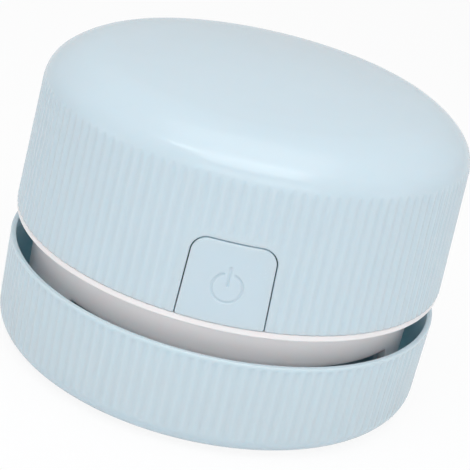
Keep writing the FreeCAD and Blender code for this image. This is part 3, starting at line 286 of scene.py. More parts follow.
class Grower:
    """A Geometry Nodes tree with named inputs for its sizes, in metres unless they are counts."""

    def __init__(self, name, **sizes):
        self.tree = bpy.data.node_groups.new(name, "GeometryNodeTree")
        face = self.tree.interface
        face.new_socket("Geometry", in_out="INPUT", socket_type="NodeSocketGeometry")
        face.new_socket("Geometry", in_out="OUTPUT", socket_type="NodeSocketGeometry")
        face.new_socket("Finish", in_out="INPUT", socket_type="NodeSocketMaterial")
        for key, value in sizes.items():
            kind = "NodeSocketInt" if isinstance(value, int) else "NodeSocketFloat"
            face.new_socket(key.replace("_", " "), in_out="INPUT", socket_type=kind).default_value = value
        self.inlet = self.tree.nodes.new("NodeGroupInput")
        self.outlet = self.tree.nodes.new("NodeGroupOutput")

    def size(self, name):
        return Value(self.tree, self.inlet.outputs[name])

    def add(self, kind, inputs, output=0, **settings):
        return node(self.tree, "GeometryNode" + kind, settings, inputs, output)

    def vector(self, x=0.0, y=0.0, z=0.0):
        return node(self.tree, "ShaderNodeCombineXYZ", {}, [x, y, z])

    def parts(self, vector):
        return [node(self.tree, "ShaderNodeSeparateXYZ", {}, [vector], axis) for axis in range(3)]

    def grow(self, name, finish, seed=None, **sizes):
        return grown(self.tree, name, finish, seed, sizes)

    def close(self, geometry):
        whole = self.add("RealizeInstances", [geometry])
        dressed = self.add("SetMaterial", {"Geometry": whole, "Material": self.size("Finish")})
        self.tree.links.new(dressed.socket, self.outlet.inputs[0])
        return self


def linked(name, data):
    """A new object in the scene."""
    thing = bpy.data.objects.new(name, data)
    bpy.context.scene.collection.objects.link(thing)
    return thing


def finished_mesh(thing):
    """The mesh that an object's modifiers give."""
    depsgraph = bpy.context.evaluated_depsgraph_get()
    return bpy.data.meshes.new_from_object(thing.evaluated_get(depsgraph))


def grown(tree, name, finish, seed, sizes):
    """Runs a tree once on a seed mesh; each input is set by its identifier first."""
    start = seed or bpy.data.meshes.new(name + "_seed")
    thing = linked(name, start)
    modifier = thing.modifiers.new(name, "NODES")
    modifier.node_group = tree
    values = {key.replace("_", " "): value for key, value in sizes.items()}
    values["Finish"] = finish.material
    for item in tree.interface.items_tree:
        if item.in_out == "INPUT" and item.name in values:
            modifier[item.identifier] = values[item.name]
    mesh = finished_mesh(thing)
    mesh.name = name
    thing.modifiers.remove(modifier)
    bpy.data.objects.remove(thing)
    bpy.data.meshes.remove(start)
    return mesh


def rib_wall():
    """Presses grooves into a turned wall; they run out where the form leaves the wall's line."""
    ribs = Grower("rib_wall", Count=float(RIBS), Depth=RIB_DEPTH * MM, Softness=RIB_SOFTNESS * MM)
    x, y, z = ribs.parts(ribs.add("InputPosition", {}))
    wave = (y.math("ARCTAN2", x) * ribs.size("Count")).math("COSINE")
    share = ribs.add("InputNamedAttribute", {"Name": RIB_SHARE}, "Attribute", data_type="FLOAT")
    room = ribs.add("InputNamedAttribute", {"Name": RIB_ROOM}, "Attribute", data_type="FLOAT")
    softness = ribs.size("Softness")
    floor = room + softness * 0.25 - ribs.size("Depth") * (0.5 - wave * 0.5)
    sink = floor.math("SMOOTH_MIN", 0.0, softness) * share
    scale = sink / (x * x + y * y).math("SQRT")
    inputs = {"Geometry": ribs.size("Geometry"), "Offset": ribs.vector(x * scale, y * scale)}
    return ribs.close(ribs.add("SetPosition", inputs))


def bristle_rows():
    """Two staggered circles of tufts; each tuft is a bundle of thin tapered bristles."""
    brush = Grower("bristle_rows", Inner_row=TUFT_ROWS[0] * MM, Outer_row=TUFT_ROWS[1] * MM,
                   Tufts=TUFT_COUNT, Bristles=BRISTLES, Spread=TUFT_SPREAD * MM, Root=BRISTLE_ROOT * MM,
                   Length=BRISTLE_LENGTH * MM, Thickness=BRISTLE_RADIUS * MM, Lean=BRISTLE_LEAN,
                   Random_seed=BRISTLE_SEED)
    tufts = brush.size("Tufts")
    inner = brush.add("MeshCircle", {"Vertices": tufts, "Radius": brush.size("Inner row")})
    outer = brush.add("MeshCircle", {"Vertices": tufts, "Radius": brush.size("Outer row")})
    half_step = brush.vector(0.0, 0.0, 1.0 / tufts * math.pi)
    outer = brush.add("Transform", {"Geometry": outer, "Rotation": half_step})
    both = brush.add("JoinGeometry", {"Geometry": [inner, outer]})
    copies = {"Geometry": both, "Amount": brush.size("Bristles")}
    bundle = brush.add("DuplicateElements", copies, domain="POINT")
    count = bundle.beside(1)
    turn = count * BRISTLE_SPIRAL
    reach = ((count + 0.5) / brush.size("Bristles")).math("SQRT") * brush.size("Spread")
    offset = brush.vector(turn.math("COSINE") * reach, turn.math("SINE") * reach, brush.size("Root"))
    placed = brush.add("SetPosition", {"Geometry": bundle, "Offset": offset})
    lean = brush.size("Lean")
    turns = {0: brush.vector(-lean, -lean, 0.0), 1: brush.vector(lean, lean, BRISTLE_TURN),
             "Seed": brush.size("Random seed")}
    tilt = node(brush.tree, "FunctionNodeRandomValue", {"data_type": "FLOAT_VECTOR"}, turns)
    thick, length = brush.size("Thickness"), brush.size("Length")
    bristle = brush.add("MeshCone", {"Vertices": 6, "Radius Top": thick, "Radius Bottom": thick * BRISTLE_TIP,
                                     "Depth": length})
    hung = brush.add("Transform", {"Geometry": bristle, "Translation": brush.vector(0.0, 0.0, -length)})
    return brush.close(brush.add("InstanceOnPoints", {"Points": placed, "Instance": hung, "Rotation": tilt}))


def pan_screw():
    """Screw with a domed head, a cross recess and a thread, at each point of the seed mesh."""
    cut = Grower("pan_screw", Head_radius=1.9 * MM, Head_height=1.1 * MM, Shank_radius=0.95 * MM,
                 Length=6.5 * MM, Pitch=0.8 * MM, Thread=0.14 * MM, Thread_rows=48, Point=1.0 * MM,
                 Recess_width=0.5 * MM, Recess_depth=0.5 * MM, Turned_over=0.0, Random_seed=SCREW_SEED)
    radius, height = cut.size("Head radius"), cut.size("Head height")
    head = cut.add("MeshCylinder", {"Vertices": 32, "Side Segments": 3, "Fill Segments": 5,
                                    "Radius": radius, "Depth": height}, fill_type="TRIANGLE_FAN")
    x, y, z = cut.parts(cut.add("InputPosition", {}))
    share = ((x * x + y * y).math("SQRT") / radius).math("POWER", SCREW_DOME_POWER)
    face = z.math("LESS_THAN", height * -0.4)
    draw_in = share * face * -SCREW_DOME_DRAW_IN
    dome = cut.vector(x * draw_in, y * draw_in, share * face * height * SCREW_DOME_DROP - height * 0.5)
    head = cut.add("SetPosition", {"Geometry": head, "Offset": dome})
    width, depth = cut.size("Recess width"), cut.size("Recess depth") * 2.0
    reach = radius * SCREW_RECESS_REACH
    bars = []
    for size in (cut.vector(reach, width, depth), cut.vector(width, reach, depth)):
        bar = {"Geometry": cut.add("MeshCube", {"Size": size}), "Translation": cut.vector(0.0, 0.0, -height)}
        bars.append(cut.add("Transform", bar))
    head = cut.add("MeshBoolean", {"Mesh 1": head, "Mesh 2": bars}, operation="DIFFERENCE", solver="EXACT")
    length = cut.size("Length")
    shank = cut.add("MeshCylinder", {"Vertices": 18, "Side Segments": cut.size("Thread rows"),
                                     "Fill Segments": 1, "Radius": cut.size("Shank radius"), "Depth": length})
    x, y, z = cut.parts(cut.add("InputPosition", {}))
    phase = (z / cut.size("Pitch") - y.math("ARCTAN2", x) / (2 * math.pi)).math("FRACT")
    valley = 1.0 - (phase * 2.0 - 1.0).math("ABSOLUTE")
    from_tip = ((length * 0.5 - z) / cut.size("Point")).math("MINIMUM", 1.0)
    taper = from_tip * (1 - SCREW_POINT) + SCREW_POINT
    shrink = taper * (1.0 - valley * cut.size("Thread") / cut.size("Shank radius")) - 1.0
    threaded = cut.vector(x * shrink, y * shrink, length * 0.5)
    shank = cut.add("SetPosition", {"Geometry": shank, "Offset": threaded})
    whole = cut.add("JoinGeometry", {"Geometry": [head, shank]})
    turns = {2: 0.0, 3: 2 * math.pi, "Seed": cut.size("Random seed")}
    spin = node(cut.tree, "FunctionNodeRandomValue", {"data_type": "FLOAT"}, turns, 1)
    turned = cut.vector(cut.size("Turned over") * math.pi, 0.0, spin)
    places = {"Points": cut.size("Geometry"), "Instance": whole, "Rotation": turned}
    return cut.close(cut.add("InstanceOnPoints", places))


def filter_weave():
    """Round plain weave: threads in two directions that pass over and under each other."""
    cloth = Grower("filter_weave", Radius=CLOTH_RADIUS * MM, Height=CLOTH_HEIGHT * MM, Pitch=CLOTH_PITCH * MM,
                   Threads=CLOTH_THREADS, Thread_radius=THREAD_RADIUS * MM)
    pitch, threads = cloth.size("Pitch"), cloth.size("Threads")
    half = pitch * (threads - 1.0) * 0.5
    line = cloth.add("CurvePrimitiveLine", {"Start": cloth.vector(-half), "End": cloth.vector(half)})
    thread = cloth.add("ResampleCurve", {"Curve": line, "Count": threads * 2.0 - 1.0})
    start, offset = cloth.vector(0.0, -half), cloth.vector(0.0, pitch)
    beside = {"Count": threads, "Start Location": start, "Offset": offset}
    laid = {"Points": cloth.add("MeshLine", beside), "Instance": thread}
    warp = cloth.add("RealizeInstances", [cloth.add("InstanceOnPoints", laid)])
    x, y, z = cloth.parts(cloth.add("InputPosition", {}))
    wave = ((x + y) / pitch * math.pi).math("COSINE") * cloth.size("Thread radius") * THREAD_WAVE
    warp = cloth.add("SetPosition", {"Geometry": warp, "Offset": cloth.vector(0.0, 0.0, wave)})
    crossed = {"Geometry": warp, "Rotation": (0, 0, math.pi / 2), "Scale": (1, 1, -1)}
    both = cloth.add("JoinGeometry", {"Geometry": [warp, cloth.add("Transform", crossed)]})
    outside = (x * x + y * y).math("SQRT").math("GREATER_THAN", cloth.size("Radius"))
    both = cloth.add("DeleteGeometry", {"Geometry": both, "Selection": outside}, domain="POINT")
    section = cloth.add("CurvePrimitiveCircle", {"Resolution": 4, "Radius": cloth.size("Thread radius")})
    woven = cloth.add("CurveToMesh", {"Curve": both, "Profile Curve": section, "Fill Caps": True})
    raised = {"Geometry": woven, "Translation": cloth.vector(0.0, 0.0, cloth.size("Height"))}
    return cloth.close(cloth.add("Transform", raised))


# ---- meshes -------------------------------------------------------------------------
@contextlib.contextmanager
def editing(mesh):
    """Opens a mesh for changes and writes them back."""
    built = bmesh.new()
    built.from_mesh(mesh)
    yield built
    built.to_mesh(mesh)
    built.free()


class Form:
    """Gathers grids of points into one mesh; a point may carry its rib share and rib room."""

    def __init__(self):
        self.points = []
        self.faces = []
        self.count = 0

    def grid(self, rows, closed=True, keep=None):
        """Quads between rows of equally many points, which run anticlockwise from below."""
        rows = np.asarray(rows, float)
        high, wide, kept = rows.shape
        rows = np.concatenate([rows, np.zeros((high, wide, 5 - kept))], axis=-1)
        index = self.count + np.arange(high * wide).reshape(high, wide)
        ahead = np.roll(index, -1, axis=1)
        quads = np.stack([index[:-1], ahead[:-1], ahead[1:], index[1:]], axis=-1)
        if not closed:
            quads = quads[:, :-1]
        quads = quads.reshape(-1, 4) if keep is None else quads[keep]
        self.faces += quads.tolist()
        self.points.append(rows.reshape(-1, 5))
        self.count += high * wide
        return index

    def cap(self, ring, centre):
        """Triangles from the last ring to a point in its middle."""
        self.points.append(np.array([[*centre[:3], 0, 0]], float))
        edge = list(ring)
        self.faces += [[a, b, self.count] for a, b in zip(edge, edge[1:] + edge[:1])]
        self.count += 1

    def mesh(self, name, merge=0.002):
        mesh = bpy.data.meshes.new(name)
        points = np.concatenate(self.points) * (MM, MM, MM, 1, MM)
        mesh.from_pydata(points[:, :3].tolist(), [], self.faces)
        with editing(mesh) as built:
            built.verts.ensure_lookup_table()
            for column, key in ((3, RIB_SHARE), (4, RIB_ROOM)):
                layer = built.verts.layers.float.new(key)
                for vertex in built.verts:
                    vertex[layer] = points[vertex.index, column]
            bmesh.ops.remove_doubles(built, verts=built.verts, dist=merge * MM)
            loose = [vertex for vertex in built.verts if not vertex.link_faces]
            bmesh.ops.delete(built, geom=loose, context="VERTS")
        mesh.shade_smooth()
        return mesh


def merged_copy(name, keep=None):
    """Copy of a solid's mesh with its loose triangles joined; keep picks faces by their centre."""
    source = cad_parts[name]
    mesh = source.data.copy()
    mesh.transform(source.matrix_world)
    mesh.materials.clear()
    with editing(mesh) as built:
        bmesh.ops.remove_doubles(built, verts=built.verts, dist=0.0005 * MM)
        if keep:
            dropped = [face for face in built.faces if not keep(face.calc_center_median() / MM)]
            bmesh.ops.delete(built, geom=dropped, context="FACES")
    return mesh


def bevelled(mesh, width):
    """Rounds the edges that are sharper than SHARP_EDGE."""
    with editing(mesh) as built:
        bmesh.ops.dissolve_limit(built, angle_limit=math.radians(0.3), verts=built.verts, edges=built.edges)
        edges = [edge for edge in built.edges
                 if len(edge.link_faces) == 2 and edge.calc_face_angle() > math.radians(SHARP_EDGE)]
        bmesh.ops.bevel(built, geom=edges, offset=width * MM, offset_type="OFFSET", segments=2,
                        profile=0.5, affect="EDGES", clamp_overlap=True)
        bmesh.ops.triangulate(built, faces=[face for face in built.faces if len(face.verts) > 4])
    mesh.shade_smooth()
    mesh.set_sharp_from_angle(angle=math.radians(CREASE))
    return level_shaded(mesh)


def level_shaded(mesh):
    """Gives flat faces their own direction for shading, so that only the rounded edges turn."""
    thing = linked(mesh.name, mesh)
    thing.modifiers.new("level", "WEIGHTED_NORMAL").keep_sharp = True
    result = finished_mesh(thing)
    bpy.data.objects.remove(thing)
    bpy.data.meshes.remove(mesh)
    return result


def ring_angles(count, start=0.0):
    """Angles of evenly spaced columns."""
    return start + np.arange(count) * 2 * math.pi / count


def ring_points(radius, height, angles):
    """Points at an angle, radius and height; each may be a number or an array."""
    radius = np.broadcast_to(radius, angles.shape)
    height = np.broadcast_to(height, angles.shape)
    return np.stack([radius * np.cos(angles), radius * np.sin(angles), height], axis=-1)


def turned(outline, angles, place=(0, 0)):
    """Rings of points for an outline of (radius, height) corners, about an upright line."""
    return [ring_points(radius, height, angles) + np.array([*place, 0]) for radius, height in outline]


def lathe(name, outline, places=((0, 0),), count=48):
    """Turned shapes with one outline, at several places."""
    form = Form()
    for place in places:
        form.grid(turned(outline, ring_angles(count), place))
    return form.mesh(name)


def around(circle, angles):
    """Places on a circle."""
    turns = [math.radians(angle) for angle in angles]
    return [(circle * math.cos(turn), circle * math.sin(turn)) for turn in turns]


def mirrored(points):
    """The points (side, level) on the other side, in turned order."""
    return [(-side, level) for side, level in reversed(points)]


def rounded_edge(radius, height, across, along, turns):
    """Corner of an outline as a quarter round; the roundings' signs say which way it bends."""
    return [(radius + across * (1 - math.cos(turn)), height + along * (1 - math.sin(turn)))
            for turn in np.radians(turns)]


def rounded_drop(distance, radius):
    """How far a quarter-round edge lies below its face at a distance from the edge."""
    inside = np.clip(radius - distance, 0, radius)
    return radius - np.sqrt(radius ** 2 - inside ** 2)


def piece(name, mesh, finish, body, node_name):
    """Puts a finished mesh in the scene, on its body and in place of its node."""
    thing = linked(name, mesh)
    mesh.materials.clear()
    mesh.materials.append(finish.material)
    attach(thing, body)
    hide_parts(node_name)


# ---- head shell -----------------------------------------------------------------------
def head_wall(height):
    return HEAD_RADIUS - HEAD_LEAN * (height - SHELL_LOW) / (SHOULDER_LOW - SHELL_LOW)


def head_profile():
    """Outline rows from the shell's lower inner edge over the wall to the top: radius, height."""
    inner = HEAD_RADIUS - SHELL_WALL
    corner = HEAD_RADIUS - SHELL_EDGE
    rows = [(inner, SHELL_LOW), ((inner + corner) / 2, SHELL_LOW), (corner, SHELL_LOW)]
    for turn in np.radians((22, 45, 67)):
        rows.append((corner + SHELL_EDGE * math.sin(turn), SHELL_LOW + SHELL_EDGE * (1 - math.cos(turn))))
    for height in np.linspace(SHELL_LOW + SHELL_EDGE, SHOULDER_LOW, WALL_ROWS + 1):
        rows.append((head_wall(height), height))
    turn = math.atan(HEAD_LEAN / (SHOULDER_LOW - SHELL_LOW))
    start = np.array(rows[-1])
    for radius, degrees, count in SHOULDER_ARCS:
        middle = start - radius * np.array([math.cos(turn), math.sin(turn)])
        for step in np.linspace(0, math.radians(degrees), count + 1)[1:]:
            rows.append(tuple(middle + radius * np.array([math.cos(turn + step), math.sin(turn + step)])))
        start = np.array(rows[-1])
        turn += math.radians(degrees)
    edge, rise = start[0], HEAD_TOP - start[1]
    sphere = (edge ** 2 + rise ** 2) / (2 * rise)
    for radius in CROWN_ROWS:
        rows.append((radius, HEAD_TOP - sphere + math.sqrt(sphere ** 2 - radius ** 2)))
    return np.array(rows)


PROFILE = head_profile()
PROFILE_SLOPE = np.gradient(PROFILE, axis=0)
PROFILE_SLOPE /= np.linalg.norm(PROFILE_SLOPE, axis=1)[:, None]


def window_half(height, margin=0.0):
    share = (height - SHELL_LOW) / (WINDOW_TOP - SHELL_LOW)
    return WINDOW_LOW_HALF + (WINDOW_TOP_HALF - WINDOW_LOW_HALF) * share + margin


def window_distance(side, height):
    """Distance outside the window's outline, in the plane across the button's way."""
    across = np.abs(side) - (window_half(height) - WINDOW_CORNER)
    above = height - (WINDOW_TOP - WINDOW_CORNER)
    outside = np.hypot(np.maximum(across, 0), np.maximum(above, 0))
    return outside + np.minimum(np.maximum(across, above), 0) - WINDOW_CORNER


def head_point(angles, row, sink=0.0):
    """Points of the outer face at fractional rows of the profile, with their share and room for ribs."""
    index = np.arange(len(PROFILE))
    radius = np.interp(row, index, PROFILE[:, 0])
    height = np.interp(row, index, PROFILE[:, 1])
    out = np.interp(row, index, PROFILE_SLOPE[:, 1])
    up = -np.interp(row, index, PROFILE_SLOPE[:, 0])
    near = window_distance(radius * np.sin(angles - FRONT), height)
    share = np.clip((near - WINDOW_BORDER) / WINDOW_FADE, 0, 1)
    ribs = np.where(np.cos(angles - FRONT) > 0, share * share * (3 - 2 * share), 1.0)
    room = head_wall(height) - radius
    ribs = ribs * (room < RIB_REACH)
    spots = ring_points(radius - sink * out, height - sink * up, angles)
    return np.concatenate([spots, np.stack([ribs, room], axis=-1)], axis=-1)


def row_at(height):
    """Fractional row of the wall at a height."""
    return WALL_ROW + (height - SHELL_LOW - SHELL_EDGE) / (SHOULDER_LOW - SHELL_LOW - SHELL_EDGE) * WALL_ROWS


def window_outline(row_list, columns):
    """Points (side, row) on the window's outline, one for each point of the patch's outer border."""
    lean = math.atan((WINDOW_LOW_HALF - WINDOW_TOP_HALF) / (WINDOW_TOP - SHELL_LOW))
    middle_height = WINDOW_TOP - WINDOW_CORNER
    middle_side = window_half(middle_height) - WINDOW_CORNER / math.cos(lean)
    straight = [row for row in row_list if PROFILE[row, 1] <= middle_height]
    left = [(-window_half(PROFILE[row, 1]), float(row)) for row in straight]
    sides = HEAD_RADIUS * np.sin(columns)
    flat = [side for side in sides if abs(side) < middle_side]
    corner_count = (len(sides) - len(flat)) // 2 + len(row_list) - len(straight)
    for turn in np.linspace(0, math.pi / 2, corner_count + 2)[1:-1]:
        row = row_at(middle_height + WINDOW_CORNER * math.sin(turn))
        left.append((-middle_side - WINDOW_CORNER * math.cos(turn), row))
    return np.array(left + [(side, row_at(WINDOW_TOP)) for side in flat] + mirrored(left))


def patch_columns(reach):
    """Angles from the middle of a patch to its side columns."""
    return np.radians(np.arange(-reach, reach + 1) * COLUMN_STEP)


def head_shell():
    """Ribbed dome with a rounded window for the button and an opening for the charging plug."""
    form = Form()
    angles = ring_angles(COLUMNS, FRONT)
    rows = np.array([head_point(angles, np.full(COLUMNS, float(row))) for row in range(len(PROFILE))])
    window_reach = round(WINDOW_PATCH_REACH / COLUMN_STEP)
    window_row = math.ceil(row_at(WINDOW_TOP + WINDOW_PATCH_RISE))
    usb_reach = round(USB_PATCH_REACH / COLUMN_STEP)
    usb_low = math.floor(row_at(USB_MIDDLE - USB_HALF_HEIGHT - USB_PATCH_RISE))
    usb_high = math.ceil(row_at(USB_MIDDLE + USB_HALF_HEIGHT + USB_PATCH_RISE))
    half = COLUMNS // 2
    keep = np.ones((len(PROFILE) - 1, COLUMNS), bool)
    keep[:window_row, :window_reach] = False
    keep[:window_row, COLUMNS - window_reach:] = False
    keep[usb_low:usb_high, half - usb_reach:half + usb_reach] = False
    index = form.grid(rows, keep=keep)
    form.cap(index[-1], (0, 0, HEAD_TOP))
    window_patch(form, patch_columns(window_reach), window_row)
    usb_patch(form, patch_columns(usb_reach), usb_low, usb_high)
    inner_dome(form)
    return form.mesh("head_shell")


def ring_shares(reach):
    """Shares of the way from an outline to a patch's outer border, close together at the rounding."""
    first = np.array((0, *ROUNDING_STEPS, *PATCH_STEPS))[:, None] / reach[None, :]
    far = first[-1] + (1 - first[-1]) * np.array([0.33, 0.66, 1.0])[:, None]
    return np.concatenate([first, far])


def patch_rings(inner, outer, middle):
    """Rings of points from an opening's side to the outer border, both (side, row), about an angle."""
    row_height = (SHOULDER_LOW - SHELL_LOW - SHELL_EDGE) / WALL_ROWS
    away = outer - inner
    reach = np.hypot(away[:, 0], np.where(inner[:, 1] < WALL_ROW, 0, away[:, 1] * row_height))
    rings = []
    for share in ring_shares(reach):
        spot = inner + away * share[:, None]
        sink = rounded_drop(share * reach, EDGE_ROUNDING)
        radius = np.interp(spot[:, 1], np.arange(len(PROFILE)), PROFILE[:, 0])
        angles = middle + np.arcsin(spot[:, 0] / radius)
        rings.append(head_point(angles, spot[:, 1], sink))
    inward = -math.sin(middle)
    return [rings[0] + np.array([0, inward * depth, 0, 0, 0]) for depth in OPENING_WALL] + rings


def window_patch(form, columns, top_row):
    """Fills between the wall's columns and the window's outline, with a rounded edge and a wall inside."""
    row_list = range(top_row + 1)
    left = [(math.sin(columns[0]) * PROFILE[row, 0], float(row)) for row in row_list]
    top = [(math.sin(turn) * PROFILE[top_row, 0], float(top_row)) for turn in columns[1:-1]]
    outer = np.array(left + top + mirrored(left))
    inner = window_outline(row_list, columns[1:-1])
    form.grid(patch_rings(inner, outer, FRONT), closed=False)


def usb_patch(form, columns, low, high):
    """Fills between the wall's columns and the charging opening's stadium outline."""
    lows = [(math.sin(turn) * PROFILE[low, 0], float(low)) for turn in columns]
    highs = [(math.sin(turn) * PROFILE[high, 0], float(high)) for turn in reversed(columns)]
    rights = [(math.sin(columns[-1]) * PROFILE[row, 0], float(row)) for row in range(low + 1, high)]
    outer = np.array(lows + rights + highs + mirrored(rights))
    straight = USB_HALF_WIDTH - USB_HALF_HEIGHT
    flat = [side for side, row in lows if abs(side) < straight]
    turns = np.linspace(-math.pi / 2, math.pi / 2, (len(outer) - 2 * len(flat)) // 2)
    inner = []
    for way in (1, -1):
        inner += [(way * side, row_at(USB_MIDDLE - way * USB_HALF_HEIGHT)) for side in flat]
        inner += [(way * (straight + USB_HALF_HEIGHT * math.cos(turn)),
                   row_at(USB_MIDDLE + way * USB_HALF_HEIGHT * math.sin(turn))) for turn in turns]
    shift = sum(1 for side, row in lows if side < -straight)
    inner = np.roll(np.array(inner), shift, axis=0)
    form.grid(patch_rings(inner, outer, REAR)[::-1])


def inner_dome(form):
    """Smooth inner face, open where the window and the charging opening are."""
    offset = PROFILE - SHELL_WALL * np.stack([PROFILE_SLOPE[:, 1], -PROFILE_SLOPE[:, 0]], axis=-1)
    picks = [WALL_ROW, *range(WALL_ROW + 2, len(PROFILE), 2), len(PROFILE) - 1]
    lines = [(HEAD_RADIUS - SHELL_WALL, SHELL_LOW)] + [tuple(offset[row]) for row in picks]
    lines = lines[::-1]
    keep = np.ones((len(lines) - 1, INNER_COLUMNS), bool)
    spot = (np.arange(INNER_COLUMNS) + 0.5) / INNER_COLUMNS * 360
    front = np.minimum(spot, 360 - spot) < INNER_WINDOW_REACH
    rear = np.abs(spot - 180) < INNER_USB_REACH
    for row, (upper, lower) in enumerate(zip(lines, lines[1:])):
        middle = (upper[1] + lower[1]) / 2
        if middle < WINDOW_TOP:
            keep[row, front] = False
        if abs(middle - USB_MIDDLE) < USB_HALF_HEIGHT + INNER_USB_ROOM:
            keep[row, rear] = False
    index = form.grid(turned(lines, ring_angles(INNER_COLUMNS, FRONT)), keep=keep)
    form.cap(index[0][::-1], (0, 0, HEAD_TOP - SHELL_WALL))


# ---- power button -----------------------------------------------------------------------
def button_outline(inset):
    """Closed outline of the button moved inward, anticlockwise from the lower left."""
    corner = max(WINDOW_CORNER - BUTTON_GAP - inset, 0.3)
    top = WINDOW_TOP - BUTTON_GAP - inset
    low = SHELL_LOW + inset
    low_corner = max(BUTTON_LOW_CORNER - inset, 0.15)
    middle_top = window_half(top - corner, -BUTTON_GAP - inset) - corner
    middle_low = window_half(low, -BUTTON_GAP - inset) - low_corner
    bottom = [(side, low) for side in np.linspace(-middle_low, middle_low, BUTTON_LEVEL_POINTS)]
    right = []
    for turn in np.linspace(-math.pi / 2, 0, 5)[1:]:
        right.append((middle_low + low_corner * math.cos(turn),
                      low + low_corner + low_corner * math.sin(turn)))
    start, end = right[-1], (middle_top + corner, top - corner)
    for share in np.linspace(0, 1, BUTTON_SIDE_POINTS)[1:]:
        right.append((start[0] + (end[0] - start[0]) * share, start[1] + (end[1] - start[1]) * share))
    for turn in np.linspace(0, math.pi / 2, BUTTON_CORNER_POINTS)[1:]:
        right.append((middle_top + corner * math.cos(turn), top - corner + corner * math.sin(turn)))
    level = [(side, top) for side in np.linspace(middle_top, -middle_top, BUTTON_LEVEL_POINTS)[1:]]
    return np.array(bottom + right + level + mirrored(right)[1:])


def symbol_depth(side, height):
    """Depth of the engraved power symbol: a ring that is open at the top, and a bar."""
    up = height - SYMBOL_HEIGHT
    far = np.hypot(side, up)
    away = np.degrees(np.arctan2(np.abs(side), up))
    end = np.radians(SYMBOL_GAP)
    tip = np.hypot(np.abs(side) - SYMBOL_RADIUS * math.sin(end), up - SYMBOL_RADIUS * math.cos(end))
    ring = np.where(away > SYMBOL_GAP, np.abs(far - SYMBOL_RADIUS), tip)
    bar = np.hypot(side, up - np.clip(up, *SYMBOL_BAR))
    edge = np.minimum(ring, bar) - SYMBOL_HALF_STROKE
    return SYMBOL_DEPTH * np.clip(0.5 - edge / SYMBOL_SLOPE, 0, 1)


def button_point(side, height, sink):
    radius = head_wall(height)
    angles = FRONT + np.arcsin(side / radius)
    return ring_points(radius - sink, height, angles)


def power_button():
    """Flush cap with a rounded edge and the engraved symbol."""
    form = Form()
    outline = button_outline(0.0)
    rings = [button_point(*outline.T, depth) for depth in BUTTON_WALL]
    for inset in (0.0, *ROUNDING_STEPS, *BUTTON_FACE_STEPS):
        outline = button_outline(inset)
        rings.append(button_point(*outline.T, rounded_drop(inset, EDGE_ROUNDING)))
    bearing = np.arctan2(outline[:, 1] - SYMBOL_HEIGHT, outline[:, 0])
    for radius in SYMBOL_RINGS:
        side = radius * np.cos(bearing)
        height = SYMBOL_HEIGHT + radius * np.sin(bearing)
        rings.append(button_point(side, height, symbol_depth(side, height)))
    index = form.grid(rings)
    form.cap(index[-1], button_point(np.array([0.0]), np.array([SYMBOL_HEIGHT]), 0.0)[0])
    return form.mesh("power_button_cap", 0.001)


# ---- base ---------------------------------------------------------------------------------
def base_wall(height):
    start = TABLE_GAP + BASE_ROUNDING
    return BASE_LOW_RADIUS + (BASE_RIM_RADIUS - BASE_LOW_RADIUS) * (height - start) / (RIM_TOP - start)


def rounding_start():
    """Angle of the rounding at which the floor plate ends."""
    return -math.acos((PLATE_REACH - BASE_LOW_RADIUS + BASE_ROUNDING) / BASE_ROUNDING)


def rounding_point(turn):
    """Radius and height on the base's rounded lower edge."""
    return (BASE_LOW_RADIUS - BASE_ROUNDING + BASE_ROUNDING * math.cos(turn),
            TABLE_GAP + BASE_ROUNDING + BASE_ROUNDING * math.sin(turn))


def base_shell():
    """Cup wall with a flat, rounded rim, its floor and the seats for the head's neck."""
    form = Form()
    angles = ring_angles(COLUMNS, FRONT)
    outline = []
    for turn in np.linspace(rounding_start(), 0, ROUNDING_ROWS):
        radius, height = rounding_point(turn)
        outline.append((radius, height, 1.0, base_wall(height) - radius))
    fade_low = RIM_TOP - RIM_BAND - RIM_FADE
    for height in np.linspace(TABLE_GAP + BASE_ROUNDING, fade_low, BASE_WALL_ROWS)[1:]:
        outline.append((base_wall(height), height, 1.0, 0.0))
    for share in (0.8, 0.5, 0.2, 0.0):
        height = RIM_TOP - RIM_BAND - RIM_FADE * share
        outline.append((base_wall(height), height, share, 0.0))
    low = BASE_FLOOR_TOP + BASE_BEVEL
    smooth = rounded_edge(BASE_RIM_RADIUS, RIM_TOP, -RIM_ROUNDING, -RIM_ROUNDING, RIM_TURNS)
    smooth += rounded_edge(BASE_BORE, RIM_TOP, RIM_ROUNDING, -RIM_ROUNDING, RIM_TURNS[::-1])
    for share in (0.2, 0.5, 1.0):
        smooth.append((BASE_BORE, RIM_TOP - RIM_ROUNDING + (low - RIM_TOP + RIM_ROUNDING) * share))
    smooth.append((BASE_BORE - BASE_BEVEL, BASE_FLOOR_TOP))
    outline += [(radius, height, 0, 0) for radius, height in smooth]
    rows = []
    for radius, height, share, room in outline:
        marks = np.broadcast_to((share, room), (COLUMNS, 2))
        rows.append(np.concatenate([ring_points(radius, height, angles), marks], axis=-1))
    form.grid(rows)
    take(form, cut_plate(angles), outside_wall)
    for degrees in SEATS:
        take(form, bevelled(seat_mesh(math.radians(degrees)), SEAT_EDGE))
    return form.mesh("base_shell")


def outside_wall(centre):
    """Whether a face of the floor plate isn't hidden in the wall."""
    beyond = math.hypot(centre.x, centre.y) > PLATE_REACH
    return not (beyond and PLATE_SIDE_LOW < centre.z < BASE_FLOOR_TOP - 0.1)


def take(form, mesh, keep=lambda centre: True):
    """Adds another mesh's faces to a form and removes that mesh."""
    points = np.array([vertex.co / MM for vertex in mesh.vertices])
    form.points.append(np.concatenate([points, np.zeros((len(points), 2))], axis=-1))
    form.faces += [[form.count + index for index in face.vertices]
                   for face in mesh.polygons if keep(face.center / MM)]
    form.count += len(points)
    bpy.data.meshes.remove(mesh)


